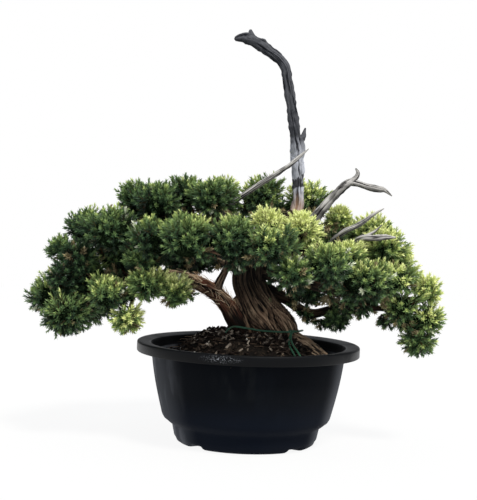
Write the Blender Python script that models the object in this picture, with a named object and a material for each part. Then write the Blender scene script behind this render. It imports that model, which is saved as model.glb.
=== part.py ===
"""Juniper bonsai in a round plastic training pot.

Metres, +Z up. The origin is the middle of the pot's flat underside, and the tree is seen from -Y.
The tables of the tree's routes and sprays are in millimetres, as MM converts them.
"""

import math

import bmesh
import bpy
import numpy as np

MM = 0.001

# Clearances between pieces that touch
GAP = 0.0004
NEEDLE_GAP = 0.0012

# Pot: a 240 mm bulb pan with a wide flat rim, open below, and a stepped foot
POT_SEGMENTS = 32
POT_HEIGHT = 0.108
WALL = 0.0022
FLOOR = 0.0028
RIM_RADIUS = 0.120
RIM_DROP = 0.0106
RIM_EDGE = 0.0014
RIM_FALL = 0.0012
MOUTH_RADIUS = 0.1052
MOUTH_EDGE = 0.0015
BEAD = 0.0030
BEAD_Z = 0.0990
BELLY_RADIUS = 0.0997
BELLY_Z = 0.061
SHOULDER_RADIUS = 0.0912
SHOULDER_Z = 0.029
SHOULDER_ROUND = 0.0035
FOOT_TOP_RADIUS = 0.0800
FOOT_TOP_Z = 0.021
FOOT_RADIUS = 0.0755
FOOT_EDGE = 0.005
FOOT_ROUND = 0.003
NOTCHES = 4
NOTCH_TOP_WIDTH = 0.0176
NOTCH_FOOT_WIDTH = 0.0260
NOTCH_HEIGHT = 0.0048
NOTCH_DEPTH = 0.012
DRAIN_RADIUS = 0.0055
DRAIN_CIRCLE = 0.052
DRAIN_SIDES = 8

# Soil: level at the pot's wall, heaped into a root ball round the trunk
SOIL_SEGMENTS = 26
SOIL_RADIUS = 0.0978
SOIL_EDGE_Z = 0.092
SOIL_TOP_Z = 0.1185
BALL_TOP_RADIUS = 0.042
BALL_FOOT_RADIUS = 0.090
CLOD_HEIGHT = 0.0022
CLOD_WAVES = (
    (0.45, (171, 0, 1.3), (0, 143, 0.4)),
    (0.35, (263, -197, 2.1)),
    (0.20, (311, 389, 0.0)),
)
SOIL_RINGS = 5

# Trunk: centre line and radius in millimetres, from under the soil to the dead leader
TRUNK_ROUTE = (
    (40, 4, 78, 25),
    (35, 3, 98, 26),
    (27, 0, 123, 22.5),
    (12, 0, 146, 19.5),
    (3, 0, 164, 17.5),
    (0, 0, 181, 17.5),
    (9, 0, 206, 14.5),
    (29, 0, 230, 11),
    (46, 0, 247, 8.6),
)
TRUNK_SIDES = 14
TRUNK_RINGS = 13
TRUNK_LOBES = ((3, 0.10, 1.1), (5, 0.05, -0.7))

# Surface roots: centre line and radius in millimetres
ROOTS = (
    ((40, -4, 112, 15), (62, -12, 106, 10), (82, -19, 95, 6.5), (92, -24, 82, 4)),
    ((24, -8, 110, 12), (8, -30, 109, 7), (-6, -48, 103, 4.5), (-12, -56, 94, 3)),
    ((30, 10, 108, 13), (18, 36, 107, 8), (8, 56, 98, 5), (4, 64, 88, 3)),
    ((44, 8, 108, 14), (62, 28, 104, 8), (74, 44, 94, 5), (80, 50, 84, 3)),
)
ROOT_SIDES = 6
ROOT_RINGS = 5

# Living limbs, in millimetres: girth is the radius at the root and at the end, route the centre line,
# and each spray is x, y, z and reach. A limb ends in its first spray and sends a twig to each of the
# others.
LIMBS = {
    "first_left": {
        "girth": (13.0, 3.0),
        "route": (
            (22, 0, 98), (0, -4, 113), (-15, -8, 133), (-24, -10, 148), (-38, -13, 162), (-60, -17, 173),
            (-90, -16, 178), (-125, -10, 172), (-158, -4, 160), (-190, 0, 152),
        ),
        "sprays": (
            (-213, 0, 150, 37), (-193, -36, 134, 36), (-178, 0, 182, 35), (-202, -9, 200, 23),
            (-148, -44, 156, 32), (-180, 44, 140, 38), (-106, -54, 170, 28), (-79, -54, 163, 25),
            (-128, -50, 135, 20), (-116, -52, 192, 24), (-148, 12, 192, 33),
        ),
    },
    "left_mid": {
        "girth": (8.5, 3.0),
        "route": (
            (-2, 0, 183), (-30, 5, 196), (-70, 8, 205), (-110, 4, 207), (-150, 0, 207), (-170, 0, 212),
        ),
        "sprays": (
            (-177, 0, 222, 34), (-148, -42, 222, 37), (-150, 40, 214, 38), (-104, -54, 217, 37),
            (-68, 42, 194, 38),
        ),
    },
    "left_top": {
        "girth": (8.0, 2.8),
        "route": ((8, 0, 205), (-14, 2, 224), (-45, 5, 237), (-80, 4, 241), (-108, 0, 247)),
        "sprays": (
            (-126, 0, 255, 29), (-98, -36, 254, 34), (-102, 40, 246, 37), (-72, 0, 264, 30),
            (-46, -30, 260, 31), (-36, 34, 262, 33), (-64, -78, 217, 38),
        ),
    },
    "riser": {
        "girth": (5.5, 2.6),
        "route": ((-37, -13, 161), (-33, -17, 174), (-27, -26, 187), (-22, -58, 204)),
        "sprays": ((-20, -86, 218, 38),),
    },
    "crown": {
        "girth": (7.0, 2.6),
        "route": ((16, 0, 215), (16, -18, 230)),
        "sprays": ((18, -46, 233, 29), (50, -48, 232, 29), (16, -92, 214, 33)),
    },
    "crown_back": {
        "girth": (7.0, 2.4),
        "route": ((24, 0, 226), (24, 20, 243)),
        "sprays": ((8, 44, 262, 36), (56, 34, 261, 32), (93, 14, 243, 20)),
    },
    "right_top": {
        "girth": (8.0, 2.6),
        "route": ((12, 0, 210), (50, 5, 213), (85, 5, 213), (112, 4, 209)),
        "sprays": ((142, -4, 216, 31), (130, 36, 226, 35), (98, -40, 203, 29), (158, 16, 198, 28)),
    },
    "right_mid": {
        "girth": (8.5, 2.6),
        "route": (
            (6, 0, 186), (40, -22, 181), (78, -28, 173), (115, -14, 165), (150, -3, 159), (178, 0, 161),
        ),
        "sprays": (
            (187, 0, 168, 25), (152, -16, 182, 34), (116, -44, 180, 36), (78, -76, 196, 33),
            (42, -82, 188, 30),
        ),
    },
    "right_low": {
        "girth": (7.0, 3.0),
        "route": (
            (10, 2, 170), (36, 8, 157), (54, 10, 146), (68, 10, 141), (84, 10, 145), (108, 10, 152),
            (138, 5, 150),
        ),
        "sprays": (
            (162, -6, 152, 32), (188, 4, 138, 30), (183, 0, 119, 23), (122, 30, 160, 36),
            (94, -4, 136, 13), (60, -14, 165, 25),
        ),
    },
    "back_left": {
        "girth": (8.5, 2.8),
        "route": ((4, 4, 188), (-14, 42, 203), (-48, 76, 202)),
        "sprays": ((-80, 98, 204, 42), (-26, 102, 228, 42), (-138, 88, 186, 38)),
    },
    "back_right": {
        "girth": (8.5, 2.8),
        "route": ((6, 4, 194), (28, 42, 202), (60, 74, 204)),
        "sprays": ((90, 98, 208, 42), (36, 104, 208, 44), (136, 76, 196, 38)),
    },
}
LIMB_SIDES = 6
LIMB_RING_STEP = 0.028
LIMB_TAPER = 0.8
TWIG_SIDES = 3
TWIG_RINGS = 3
TWIG_RADIUS = 0.0027
TWIG_END_RADIUS = 0.0016
TWIG_SHARE_OF_LIMB = 0.75
TWIG_LEAD = 0.012
TWIG_SAG = 0.06
ENTRY_SHARE = 0.2
TOUCH_SHARE = 1.25
CURVE_STEPS = 16

# Dead wood: centre line and radius in millimetres of each arm. The first arm grows from the living
# wood, and the others fork from it.
DEAD_WOOD = {
    "dead_leader": (
        (
            (43, 0, 243, 7.8), (47.5, 0, 258, 6.8), (47.5, 0, 274, 5.8), (47, 0, 290, 5.6), (46, 0, 303, 6.1),
            (45, 0, 320, 7.2), (42, 0, 334, 6.2), (38.5, 0, 352, 5.7), (35, 0, 372, 5.4), (31.5, 0, 391, 5.1),
            (28.5, 0, 405, 5.2), (20, 0, 415, 5.3), (10, 0, 422, 5.6), (3, 0, 427, 6.3), (-3, 0, 430, 5.6),
            (-10, 0, 433.5, 7.0), (-17, 0, 435, 5.6), (-26, 0, 433.5, 2.6),
        ),
        ((43, 0, 323, 4.0), (50, 0, 331, 3.4), (52.5, 0, 341, 0.8)),
        ((-7, 0, 432, 4.6), (-9, 0, 438, 4.0), (-10, 0, 444, 1.0)),
    ),
    "jin_left": (
        (
            (-36, 4, 236, 3.2), (-30, -14, 251, 2.9), (-14, -25, 264.5, 2.8), (3, -27, 277, 2.6),
            (22.5, -27, 290, 2.4), (38.5, -26, 301.5, 2.2), (48.5, -25, 311, 1.6), (56, -25, 318, 0.5),
        ),
    ),
    "jin_right_forked": (
        (
            (34, 2, 221, 5.5), (54, -2, 231, 5.8), (68, -6, 247.5, 5.5), (79, -8, 261, 5.1), (90, -8, 274, 4.7),
            (101, -8, 284, 4.2), (110, -8, 283.5, 3.4), (121, -9, 280.5, 3.3), (132, -10, 278.5, 3.6),
            (139, -10, 277.5, 2.4), (147, -11, 271.5, 0.5),
        ),
        ((99, -8, 282, 4.0), (108, -8, 290, 2.8), (110, -8, 295, 2.3), (107.5, -8, 299.5, 0.8)),
    ),
    "jin_right_thin": (
        (
            (80, 5, 213, 3.0), (89, -14, 225, 2.7), (99, -20, 233, 2.6), (109, -20, 238, 2.6),
            (118, -20, 244, 2.4), (127, -20, 251, 1.7), (138, -20, 258, 0.5),
        ),
    ),
    "jin_right_low": (
        (
            (99, 5, 211, 3.0), (107, -17, 220, 3.0), (116, -28, 226, 3.2), (128, -30, 227, 3.4),
            (140, -30, 228, 3.0), (151, -29, 228, 0.8),
        ),
        ((117, -28, 227, 1.6), (128, -29, 233, 1.5), (136, -29, 241, 0.5)),
    ),
}
DEAD_SIDES = 7
DEAD_RING_STEP = 0.0125

# Plastic-coated wire that ties the root ball down: one strand over the trunk's foot and two tails
# from its knot
TIE_RADIUS = 0.0010
TIE_SIDES = 5
TIE_RING_STEP = 0.010
TIE_STRANDS = (
    (
        (-28, -23, 108), (-25, -25, 120), (-17, -26, 127), (-4, -28, 126.5), (12.5, -30, 124.5),
        (32, -31, 124), (45, -30, 124.5), (53.5, -21, 124.5), (57.5, -7, 124), (56.5, 9, 122), (50, 24, 118),
        (43, 35, 106),
    ),
    (
        (45, -30, 124.5), (44.5, -38, 117.5), (46.5, -47, 112.5), (50.5, -56, 107.5), (53.5, -62, 103),
        (56, -66, 97), (57, -68, 89),
    ),
    ((45, -30, 124.5), (42.5, -38, 116), (43.5, -46, 110), (48, -53, 103), (51, -58, 96), (52, -60, 88)),
)
KNOT_RADIUS = 0.0023
KNOT_LENGTH = 0.0068

# Foliage: each spray is a flattened round head of shoots, and each shoot ends in a whorl of needles
FLATNESS = 0.76
NEIGHBOUR_GAP = 0.004
CORE_SHARE = 0.50
CORE_LUMPS = 0.10
CORE_GAP = 0.0010
CORNER_SPACING = 0.0150
FEWEST_CORNERS = 6
MOST_CORNERS = 10
NEEDLE_LENGTH = 0.0085
NEEDLES = 3
NEEDLE_SPLAY = math.radians(36)
STEM_RADIUS = 0.0021
STEM_START = 0.25
STEM_CHECKS = 5
SHORTEST_SHOOT = 0.0085
SHOOT_UPTURN = 0.22
SHOOT_SQUARENESS = 0.30
FURTHEST_SHOOT = 1.10
FURTHEST_NEEDLE = 1.24
SHOOT_LENGTHS = (1.0, 0.84)
SHOOT_VARIATION = 0.08
GOLDEN_ANGLE = math.pi * (3 - math.sqrt(5))
SEED = 11

# Edges flatter than this are shaded smooth
SHARP_ANGLE = math.radians(42)

# Colour, roughness and metallic value of each material
FINISHES = {
    "black_plastic": ((0.012, 0.013, 0.017), 0.42, 0.0),
    "soil": ((0.045, 0.030, 0.021), 0.95, 0.0),
    "bark": ((0.115, 0.072, 0.046), 0.90, 0.0),
    "dead_wood": ((0.27, 0.25, 0.25), 0.85, 0.0),
    "foliage": ((0.060, 0.120, 0.042), 0.70, 0.0),
    "green_wire": ((0.020, 0.090, 0.045), 0.40, 0.0),
}


def material(name):
    """The named material, made once."""
    found = bpy.data.materials.get(name)
    if found:
        return found
    colour, roughness, metallic = FINISHES[name]
    made = bpy.data.materials.new(name)
    made.use_nodes = True
    shader = made.node_tree.nodes["Principled BSDF"]
    shader.inputs["Base Color"].default_value = (*colour, 1.0)
    shader.inputs["Roughness"].default_value = roughness
    shader.inputs["Metallic"].default_value = metallic
    made.diffuse_color = (*colour, 1.0)
    return made


def mesh_object(name, points, faces, finish, place=(0, 0, 0)):
    """A new object in the scene, placed by its location, from points and faces given in the world."""
    points = np.array(points, float) - place
    mesh = bpy.data.meshes.new(name)
    mesh.from_pydata(points.tolist(), [], [tuple(map(int, face)) for face in faces])
    mesh.materials.append(material(finish))
    mesh.update()
    obj = bpy.data.objects.new(name, mesh)
    obj.location = place
    bpy.context.scene.collection.objects.link(obj)
    return obj


def boolean(obj, others, operation):
    """Joins the others to the object or cuts them from it, then removes them."""
    if not others:
        return
    tools = bpy.data.collections.new("tools")
    bpy.context.scene.collection.children.link(tools)
    for other in others:
        bpy.context.scene.collection.objects.unlink(other)
        tools.objects.link(other)
    modifier = obj.modifiers.new("boolean", "BOOLEAN")
    modifier.operation = operation
    modifier.operand_type = "COLLECTION"
    modifier.collection = tools
    modifier.solver = "EXACT"
    bpy.context.view_layer.update()
    evaluated = obj.evaluated_get(bpy.context.evaluated_depsgraph_get())
    done = bpy.data.meshes.new_from_object(evaluated)
    obj.modifiers.clear()
    obj.data = done
    for other in others:
        bpy.data.objects.remove(other)
    bpy.data.collections.remove(tools)


def keep_largest_body(obj):
    """Drops the loose scraps that a cut leaves."""
    mesh = bmesh.new()
    mesh.from_mesh(obj.data)
    unseen = set(mesh.verts)
    bodies = []
    while unseen:
        edge_of_search = [unseen.pop()]
        body = set(edge_of_search)
        while edge_of_search:
            vertex = edge_of_search.pop()
            for edge in vertex.link_edges:
                near = edge.other_vert(vertex)
                if near in unseen:
                    unseen.remove(near)
                    body.add(near)
                    edge_of_search.append(near)
        bodies.append(body)
    bodies.sort(key=len)
    for body in bodies[:-1]:
        bmesh.ops.delete(mesh, geom=list(body), context="VERTS")
    mesh.to_mesh(obj.data)
    mesh.free()


def unit(vectors):
    """The vectors scaled to length 1."""
    return vectors / np.linalg.norm(vectors, axis=-1, keepdims=True)


def smooth_route(points, count):
    """That many points, evenly spaced, on the Catmull-Rom curve through the given ones.

    The points may carry a radius as a fourth number, which is eased along in the same way.
    """
    points = np.array(points, float)
    ends = np.vstack([2 * points[0] - points[1], points, 2 * points[-1] - points[-2]])
    fine = []
    for i in range(len(points) - 1):
        a, b, c, d = ends[i : i + 4]
        t = np.arange(CURVE_STEPS)[:, None] / CURVE_STEPS
        square, cube = 2 * a - 5 * b + 4 * c - d, 3 * b - a - 3 * c + d
        fine.append(b + 0.5 * ((c - a) * t + square * t**2 + cube * t**3))
    fine = np.vstack([*fine, points[-1:]])
    along = np.concatenate([[0], np.cumsum(np.linalg.norm(np.diff(fine[:, :3], axis=0), axis=1))])
    stops = np.linspace(0, along[-1], count)
    return np.stack([np.interp(stops, along, column) for column in fine.T], axis=1)


def ring_frames(centres):
    """Two unit vectors across the route at each of its points, carried along without twisting."""
    tangents = unit(np.gradient(centres, axis=0))
    squarest = np.eye(3)[1 if abs(tangents[0][1]) < abs(tangents[0][0]) + abs(tangents[0][2]) else 0]
    side = np.cross(tangents[0], squarest)
    sides = []
    for tangent in tangents:
        side = unit(side - tangent * (side @ tangent))
        sides.append(side)
    sides = np.array(sides)
    return tangents, sides, np.cross(tangents, sides)


def tube(name, route, sides, finish, lobes=(), grow=0.0):
    """A closed tube along a route of x, y, z and radius.

    Lobes are flutes: count, depth as a share of the radius, and turns along the route. Growing adds
    to the radius and to both ends, for a cutter that leaves a gap.
    """
    route = np.array(route, float)
    centres, radii = route[:, :3].copy(), route[:, 3] + grow
    place = centres[0].copy()
    tangents, across, up = ring_frames(centres)
    centres[0] -= tangents[0] * grow
    centres[-1] += tangents[-1] * grow
    angle = np.linspace(0, 2 * math.pi, sides, endpoint=False)[None, :]
    share = np.linspace(0, 1, len(route))[:, None]
    bulge = np.ones((len(route), sides))
    for count, depth, turns in lobes:
        bulge += depth * np.cos(count * angle + 2 * math.pi * turns * share)
    reach = radii[:, None] * bulge
    points = (
        centres[:, None, :]
        + (reach * np.cos(angle))[..., None] * across[:, None, :]
        + (reach * np.sin(angle))[..., None] * up[:, None, :]
    )
    faces = [tuple(range(sides))[::-1]]
    for ring in range(len(route) - 1):
        for s in range(sides):
            a, b = ring * sides + s, ring * sides + (s + 1) % sides
            faces.append((a, b, b + sides))
            faces.append((a, b + sides, a + sides))
    faces.append(tuple(range((len(route) - 1) * sides, len(route) * sides)))
    return mesh_object(name, points.reshape(-1, 3), faces, finish, place)


def lathe(name, profile, segments, finish):
    """A solid turned round Z from a closed profile of radius and height, listed so that faces point out.

    A profile point on the axis becomes one vertex.
    """
    points, rows = [], []
    for radius, height in profile:
        if radius == 0:
            rows.append([len(points)] * segments)
            points.append((0, 0, height))
            continue
        rows.append(list(range(len(points), len(points) + segments)))
        for s in range(segments):
            angle = 2 * math.pi * s / segments
            points.append((radius * math.cos(angle), radius * math.sin(angle), height))
    faces = []
    for low, high in zip(rows, rows[1:]):
        for s in range(segments):
            t = (s + 1) % segments
            face = list(dict.fromkeys((low[s], low[t], high[t], high[s])))
            if len(face) > 2:
                faces.append(face)
    return mesh_object(name, points, faces, finish)


def pot_profiles():
    """The pot's outer profile, from the middle of its underside to the mouth's edge, and the inner one."""
    foot_slope = (FOOT_TOP_RADIUS - FOOT_RADIUS) / (FOOT_TOP_Z - FOOT_EDGE)
    rim_underside = POT_HEIGHT - WALL - RIM_EDGE / 2
    outer = [
        (0, 0),
        (FOOT_RADIUS - FOOT_EDGE, 0),
        (FOOT_RADIUS, FOOT_EDGE),
        (FOOT_TOP_RADIUS - foot_slope * FOOT_ROUND, FOOT_TOP_Z - FOOT_ROUND),
        (FOOT_TOP_RADIUS + FOOT_ROUND / 2, FOOT_TOP_Z),
        (SHOULDER_RADIUS - SHOULDER_ROUND, SHOULDER_Z - SHOULDER_ROUND),
        (SHOULDER_RADIUS, SHOULDER_Z + SHOULDER_ROUND),
        (BELLY_RADIUS, BELLY_Z),
        (MOUTH_RADIUS, rim_underside),
        (RIM_RADIUS - WALL, rim_underside),
        (RIM_RADIUS - WALL, POT_HEIGHT - RIM_DROP),
        (RIM_RADIUS, POT_HEIGHT - RIM_DROP),
        (RIM_RADIUS, POT_HEIGHT - RIM_EDGE),
        (RIM_RADIUS - RIM_EDGE, POT_HEIGHT),
        (MOUTH_RADIUS + MOUTH_EDGE, POT_HEIGHT - RIM_FALL),
    ]
    inner = [
        (MOUTH_RADIUS - WALL + MOUTH_EDGE / 2, POT_HEIGHT - RIM_FALL - MOUTH_EDGE),
        (MOUTH_RADIUS - WALL, BEAD_Z),
        (MOUTH_RADIUS - WALL - BEAD / 2, BEAD_Z - BEAD / 2),
        (BELLY_RADIUS - WALL - GAP, BELLY_Z),
        (SHOULDER_RADIUS - WALL, SHOULDER_Z + SHOULDER_ROUND),
        (FOOT_TOP_RADIUS - WALL, FOOT_TOP_Z),
        (FOOT_RADIUS - FOOT_EDGE - WALL, FLOOR),
        (0, FLOOR),
    ]
    return outer, inner


def notch(number):
    """A wedge that cuts one notch in the edge of the foot, wider below than above."""
    turn = 2 * math.pi * (number + 0.5) / NOTCHES
    out = np.array((math.cos(turn), math.sin(turn), 0))
    across = np.array((-out[1], out[0], 0))
    corners = []
    for height, width in ((-NOTCH_HEIGHT, NOTCH_FOOT_WIDTH), (NOTCH_HEIGHT, NOTCH_TOP_WIDTH)):
        for depth, side in ((-1, -1), (1, -1), (1, 1), (-1, 1)):
            corner = out * (FOOT_RADIUS + depth * NOTCH_DEPTH) + across * side * width / 2
            corners.append(corner + np.array((0, 0, height)))
    sides = [(0, 3, 2, 1), (4, 5, 6, 7), (0, 1, 5, 4), (1, 2, 6, 5), (2, 3, 7, 6), (3, 0, 4, 7)]
    return mesh_object(f"notch_{number}", corners, sides, "black_plastic")


def drain(number):
    """A rod that cuts one drain hole in the floor, behind its notch."""
    turn = 2 * math.pi * (number + 0.5) / NOTCHES
    x, y = DRAIN_CIRCLE * math.cos(turn), DRAIN_CIRCLE * math.sin(turn)
    route = [(x, y, z, DRAIN_RADIUS) for z in (-FLOOR, 2 * FLOOR)]
    return tube(f"drain_{number}", route, DRAIN_SIDES, "black_plastic")


def make_pot():
    """The pot, with its foot notched for drainage and a drain hole behind each notch."""
    outer, inner = pot_profiles()
    pot = lathe("pot", outer + inner, POT_SEGMENTS, "black_plastic")
    boolean(pot, [make(i) for make in (notch, drain) for i in range(NOTCHES)], "DIFFERENCE")
    return pot


def clods(x, y):
    """Uneven soil, from -1 to 1: the sum over each row of its strength times sin(ax + by + c) of its waves."""
    total = 0
    for strength, *waves in CLOD_WAVES:
        product = strength
        for along_x, along_y, phase in waves:
            product = product * np.sin(along_x * x + along_y * y + phase)
        total = total + product
    return total


def soil_height(x, y):
    """The soil's surface: flat near the wall, and a heap with a level top round the trunk."""
    radius = np.hypot(x, y)
    share = np.clip((BALL_FOOT_RADIUS - radius) / (BALL_FOOT_RADIUS - BALL_TOP_RADIUS), 0, 1)
    heap = share * share * (3 - 2 * share)
    return SOIL_EDGE_Z + (SOIL_TOP_Z - SOIL_EDGE_Z) * heap + CLOD_HEIGHT * clods(x, y)


def make_soil(cutters):
    """The soil, which fills the pot inside its wall, with plain holes for what stands in it."""
    _, inner = pot_profiles()
    wall = [(radius - 2 * GAP, height) for radius, height in inner[-2:2:-1]]
    bottom = wall[0][1] + GAP
    profile = [(0, bottom), (wall[0][0] - 2 * GAP, bottom), *wall[1:]]
    for ring in range(SOIL_RINGS + 1):
        profile.append((SOIL_RADIUS * (1 - ring / SOIL_RINGS), SOIL_EDGE_Z))
    soil = lathe("soil", profile, SOIL_SEGMENTS, "soil")
    for vertex in soil.data.vertices:
        if vertex.co.z > SOIL_EDGE_Z - GAP:
            vertex.co.z = soil_height(vertex.co.x, vertex.co.y)
    boolean(soil, cutters, "DIFFERENCE")
    keep_largest_body(soil)
    return soil


def scaled(points):
    """Millimetres to metres."""
    return np.array(points, float) * MM


def ring_count(route, step):
    """How many rings a route takes at that spacing, and 4 at least."""
    length = np.linalg.norm(np.diff(route[:, :3], axis=0), axis=1).sum()
    return max(4, round(length / step) + 1)


class Wood:
    """A tapered tube of wood, kept as its route so that it can be made again as a cutter."""

    def __init__(self, name, route, sides, lobes=()):
        self.name = name
        self.route = np.array(route, float)
        self.sides = sides
        self.lobes = lobes

    def body(self, finish):
        """The tube itself."""
        return tube(self.name, self.route, self.sides, finish, self.lobes)

    def cutter(self):
        """The tube grown by the gap that touching pieces keep."""
        return tube(f"{self.name}_cutter", self.route, self.sides, "bark", self.lobes, grow=GAP)

    def samples(self):
        """Points along the centre line, close together, each with its radius."""
        return smooth_route(self.route, max(8, 4 * len(self.route)))

    def meets(self, other):
        """True if the two tubes touch or nearly do."""
        mine, theirs = self.samples(), other.samples()
        apart = np.linalg.norm(mine[:, None, :3] - theirs[None, :, :3], axis=2)
        return bool((apart - TOUCH_SHARE * (mine[:, None, 3] + theirs[None, :, 3])).min() < GAP)


def sprays_of(limb):
    """Centre and reach, in metres, of each of a limb's sprays."""
    return [(np.array(s[:3], float) * MM, s[3] * MM) for s in LIMBS[limb]["sprays"]]


def spray_entry(centre, reach, start):
    """Where a twig that comes from the start ends, inside the spray's core."""
    return centre + unit(start - centre) * reach * ENTRY_SHARE


def limb_wood(limb):
    """A limb, from its root in the trunk to its end inside its first spray."""
    facts = LIMBS[limb]
    points = scaled(facts["route"])
    centre, reach = sprays_of(limb)[0]
    points = np.vstack([points, spray_entry(centre, reach, points[-1])])
    root, end = (radius * MM for radius in facts["girth"])
    taper = np.linspace(0, 1, len(points)) ** LIMB_TAPER
    route = np.column_stack([points, root + (end - root) * taper])
    return Wood(f"limb_{limb}", smooth_route(route, ring_count(route, LIMB_RING_STEP)), LIMB_SIDES)


def twig_wood(limb, wood, number, centre, reach):
    """A twig from the limb to one of its sprays. It leaves the limb a little before the nearest point."""
    line = smooth_route(wood.route, CURVE_STEPS * 4)
    nearest = int(np.argmin(np.linalg.norm(line[:, :3] - centre, axis=1)))
    length = np.linalg.norm(line[1, :3] - line[0, :3])
    start = line[max(2, nearest - round(TWIG_LEAD / length))]
    end = spray_entry(centre, reach, start[:3])
    sag = np.array((0, 0, -TWIG_SAG * np.linalg.norm(end - start[:3])))
    middle = (start[:3] + end) / 2 + sag
    thick = min(TWIG_RADIUS, TWIG_SHARE_OF_LIMB * start[3])
    route = [(*start[:3], thick), (*middle, (thick + TWIG_END_RADIUS) / 2), (*end, TWIG_END_RADIUS)]
    return Wood(f"twig_{limb}_{number}", smooth_route(route, TWIG_RINGS), TWIG_SIDES)


def living_wood():
    """The trunk, its roots, its limbs and their twigs, in that order."""
    found = [Wood("trunk", smooth_route(scaled(TRUNK_ROUTE), TRUNK_RINGS), TRUNK_SIDES, TRUNK_LOBES)]
    for i, root in enumerate(ROOTS):
        found.append(Wood(f"root_{i}", smooth_route(scaled(root), ROOT_RINGS), ROOT_SIDES))
    for limb in LIMBS:
        wood = limb_wood(limb)
        found.append(wood)
        for number, (centre, reach) in enumerate(sprays_of(limb)[1:], start=2):
            found.append(twig_wood(limb, wood, number, centre, reach))
    return found


def dead_wood():
    """Each dead piece as its arms."""
    pieces = {}
    for name, arms in DEAD_WOOD.items():
        pieces[name] = []
        for i, arm in enumerate(arms):
            route = scaled(arm)
            route = smooth_route(route, ring_count(route, DEAD_RING_STEP))
            pieces[name].append(Wood(f"{name}_arm_{i}", route, DEAD_SIDES))
    return pieces


def joined(name, wood, finish):
    """One solid from several tubes of wood."""
    first = wood[0].body(finish)
    boolean(first, [w.body(finish) for w in wood[1:]], "UNION")
    first.name = name
    keep_largest_body(first)
    return first


def tie_wood():
    """The strands of the tie wire and the knot where they meet."""
    strands = []
    for i, points in enumerate(TIE_STRANDS):
        route = np.column_stack([scaled(points), np.full(len(points), TIE_RADIUS)])
        strands.append(Wood(f"tie_{i}", smooth_route(route, ring_count(route, TIE_RING_STEP)), TIE_SIDES))
    x, y, z = scaled(TIE_STRANDS[1][0])
    half = KNOT_LENGTH / 2
    knot = ((x - half, y, z, TIE_RADIUS), (x, y, z, KNOT_RADIUS), (x + half, y, z, TIE_RADIUS))
    strands.append(Wood("tie_knot", knot, TIE_SIDES))
    return strands


class Spray:
    """A head of shoots: its place, and how far it may reach in each direction.

    Distances are taken with heights stretched by the flatness, so that each spray is a sphere. The
    plane between two sprays that meet is the one through the circle where their spheres cross.
    """

    def __init__(self, name, centre, reach):
        self.name = name
        self.centre = centre
        self.reach = reach
        self.walls = []

    def stretched(self, vector):
        """The vector with its height stretched."""
        return vector * np.array((1, 1, 1 / FLATNESS))

    def meet(self, others):
        """Notes the plane between this spray and each other one near it."""
        for other in others:
            line = self.stretched(other.centre - self.centre)
            apart = np.linalg.norm(line)
            if other is self or apart > self.reach + other.reach + NEIGHBOUR_GAP:
                continue
            share = (apart**2 + self.reach**2 - other.reach**2) / (2 * apart)
            self.walls.append((line / apart, share))

    def reach_along(self, direction, share, gap):
        """How far the spray goes from its centre: a share of its reach, or up to the gap before a wall."""
        line = self.stretched(direction)
        far = share * self.reach / np.linalg.norm(line)
        for normal, distance in self.walls:
            slope = normal @ line
            if slope > 0:
                far = min(far, (distance - gap) / slope)
        return far


def all_sprays():
    """Every spray of every limb, each knowing its neighbours."""
    found = []
    for limb in LIMBS:
        for number, (centre, reach) in enumerate(sprays_of(limb), start=1):
            found.append(Spray(f"spray_{limb}_{number}", centre, reach))
    for spray in found:
        spray.meet(found)
    return found


def lattice(count, turn):
    """Directions spread evenly over a sphere: a spiral that turns by the golden angle each time."""
    i = np.arange(count)
    height = 1 - (2 * i + 1) / count
    angle = turn + GOLDEN_ANGLE * i
    width = np.sqrt(1 - height * height)
    return np.stack([width * np.cos(angle), width * np.sin(angle), height], axis=1)


def hull_faces(directions):
    """The triangles of the convex hull, facing out."""
    mesh = bmesh.new()
    for i, direction in enumerate(directions):
        mesh.verts.new(direction).index = i
    bmesh.ops.convex_hull(mesh, input=mesh.verts)
    faces = []
    for face in mesh.faces:
        corners = [v.index for v in face.verts]
        outward = face.normal.dot(face.calc_center_median())
        faces.append(corners if outward > 0 else corners[::-1])
    mesh.free()
    return faces


def clear_of_wood(points, samples, gap):
    """True if every point is that far from all wood."""
    apart = np.linalg.norm(points[:, None, :] - samples[None, :, :3], axis=2) - samples[None, :, 3]
    return bool(apart.min() > gap)


def shoot_points(corners, tip):
    """A shoot from a face of the core to its tip: the stem's corners, its middle and the needles' tips.

    The face narrows to a stem of three corners, and a whorl of needles splays out over its sides.
    """
    base = corners.mean(axis=0)
    axis = unit(tip - base)
    arms = corners - base
    arms = unit(arms - (arms @ axis)[:, None] * axis)
    middle = tip - axis * NEEDLE_LENGTH * math.cos(NEEDLE_SPLAY)
    between = unit(arms + np.roll(arms, -1, axis=0))
    tips = tip + NEEDLE_LENGTH * math.sin(NEEDLE_SPLAY) * between
    return middle + STEM_RADIUS * arms, middle, tips


def shoot(spray, corners, rng, samples):
    """A shoot that rises from one face of the core, as long as it has room for, or None."""
    base = corners.mean(axis=0)
    square = unit(np.cross(corners[1] - corners[0], corners[2] - corners[0]))
    lean = SHOOT_SQUARENESS * square + np.array((0, 0, SHOOT_UPTURN))
    outward = unit(unit(base - spray.centre) + lean)
    share = FURTHEST_SHOOT - SHOOT_VARIATION * rng.random()
    longest = spray.reach_along(outward, share, NEEDLE_GAP)
    for length in SHOOT_LENGTHS:
        tip = spray.centre + outward * longest * length
        if np.linalg.norm(tip - base) < SHORTEST_SHOOT or (tip - base) @ outward < 0:
            return None
        stem, middle, tips = shoot_points(corners, tip)
        offsets = tips - spray.centre
        room = [spray.reach_along(unit(offset), FURTHEST_NEEDLE, NEEDLE_GAP) for offset in offsets]
        along = base + np.linspace(STEM_START, 1, STEM_CHECKS)[:, None] * (tip - base)
        inside = bool(np.all(np.linalg.norm(offsets, axis=1) < room))
        if inside and clear_of_wood(np.vstack([along, tips]), samples, 2 * NEEDLE_GAP):
            return stem, middle, tips
    return None


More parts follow.
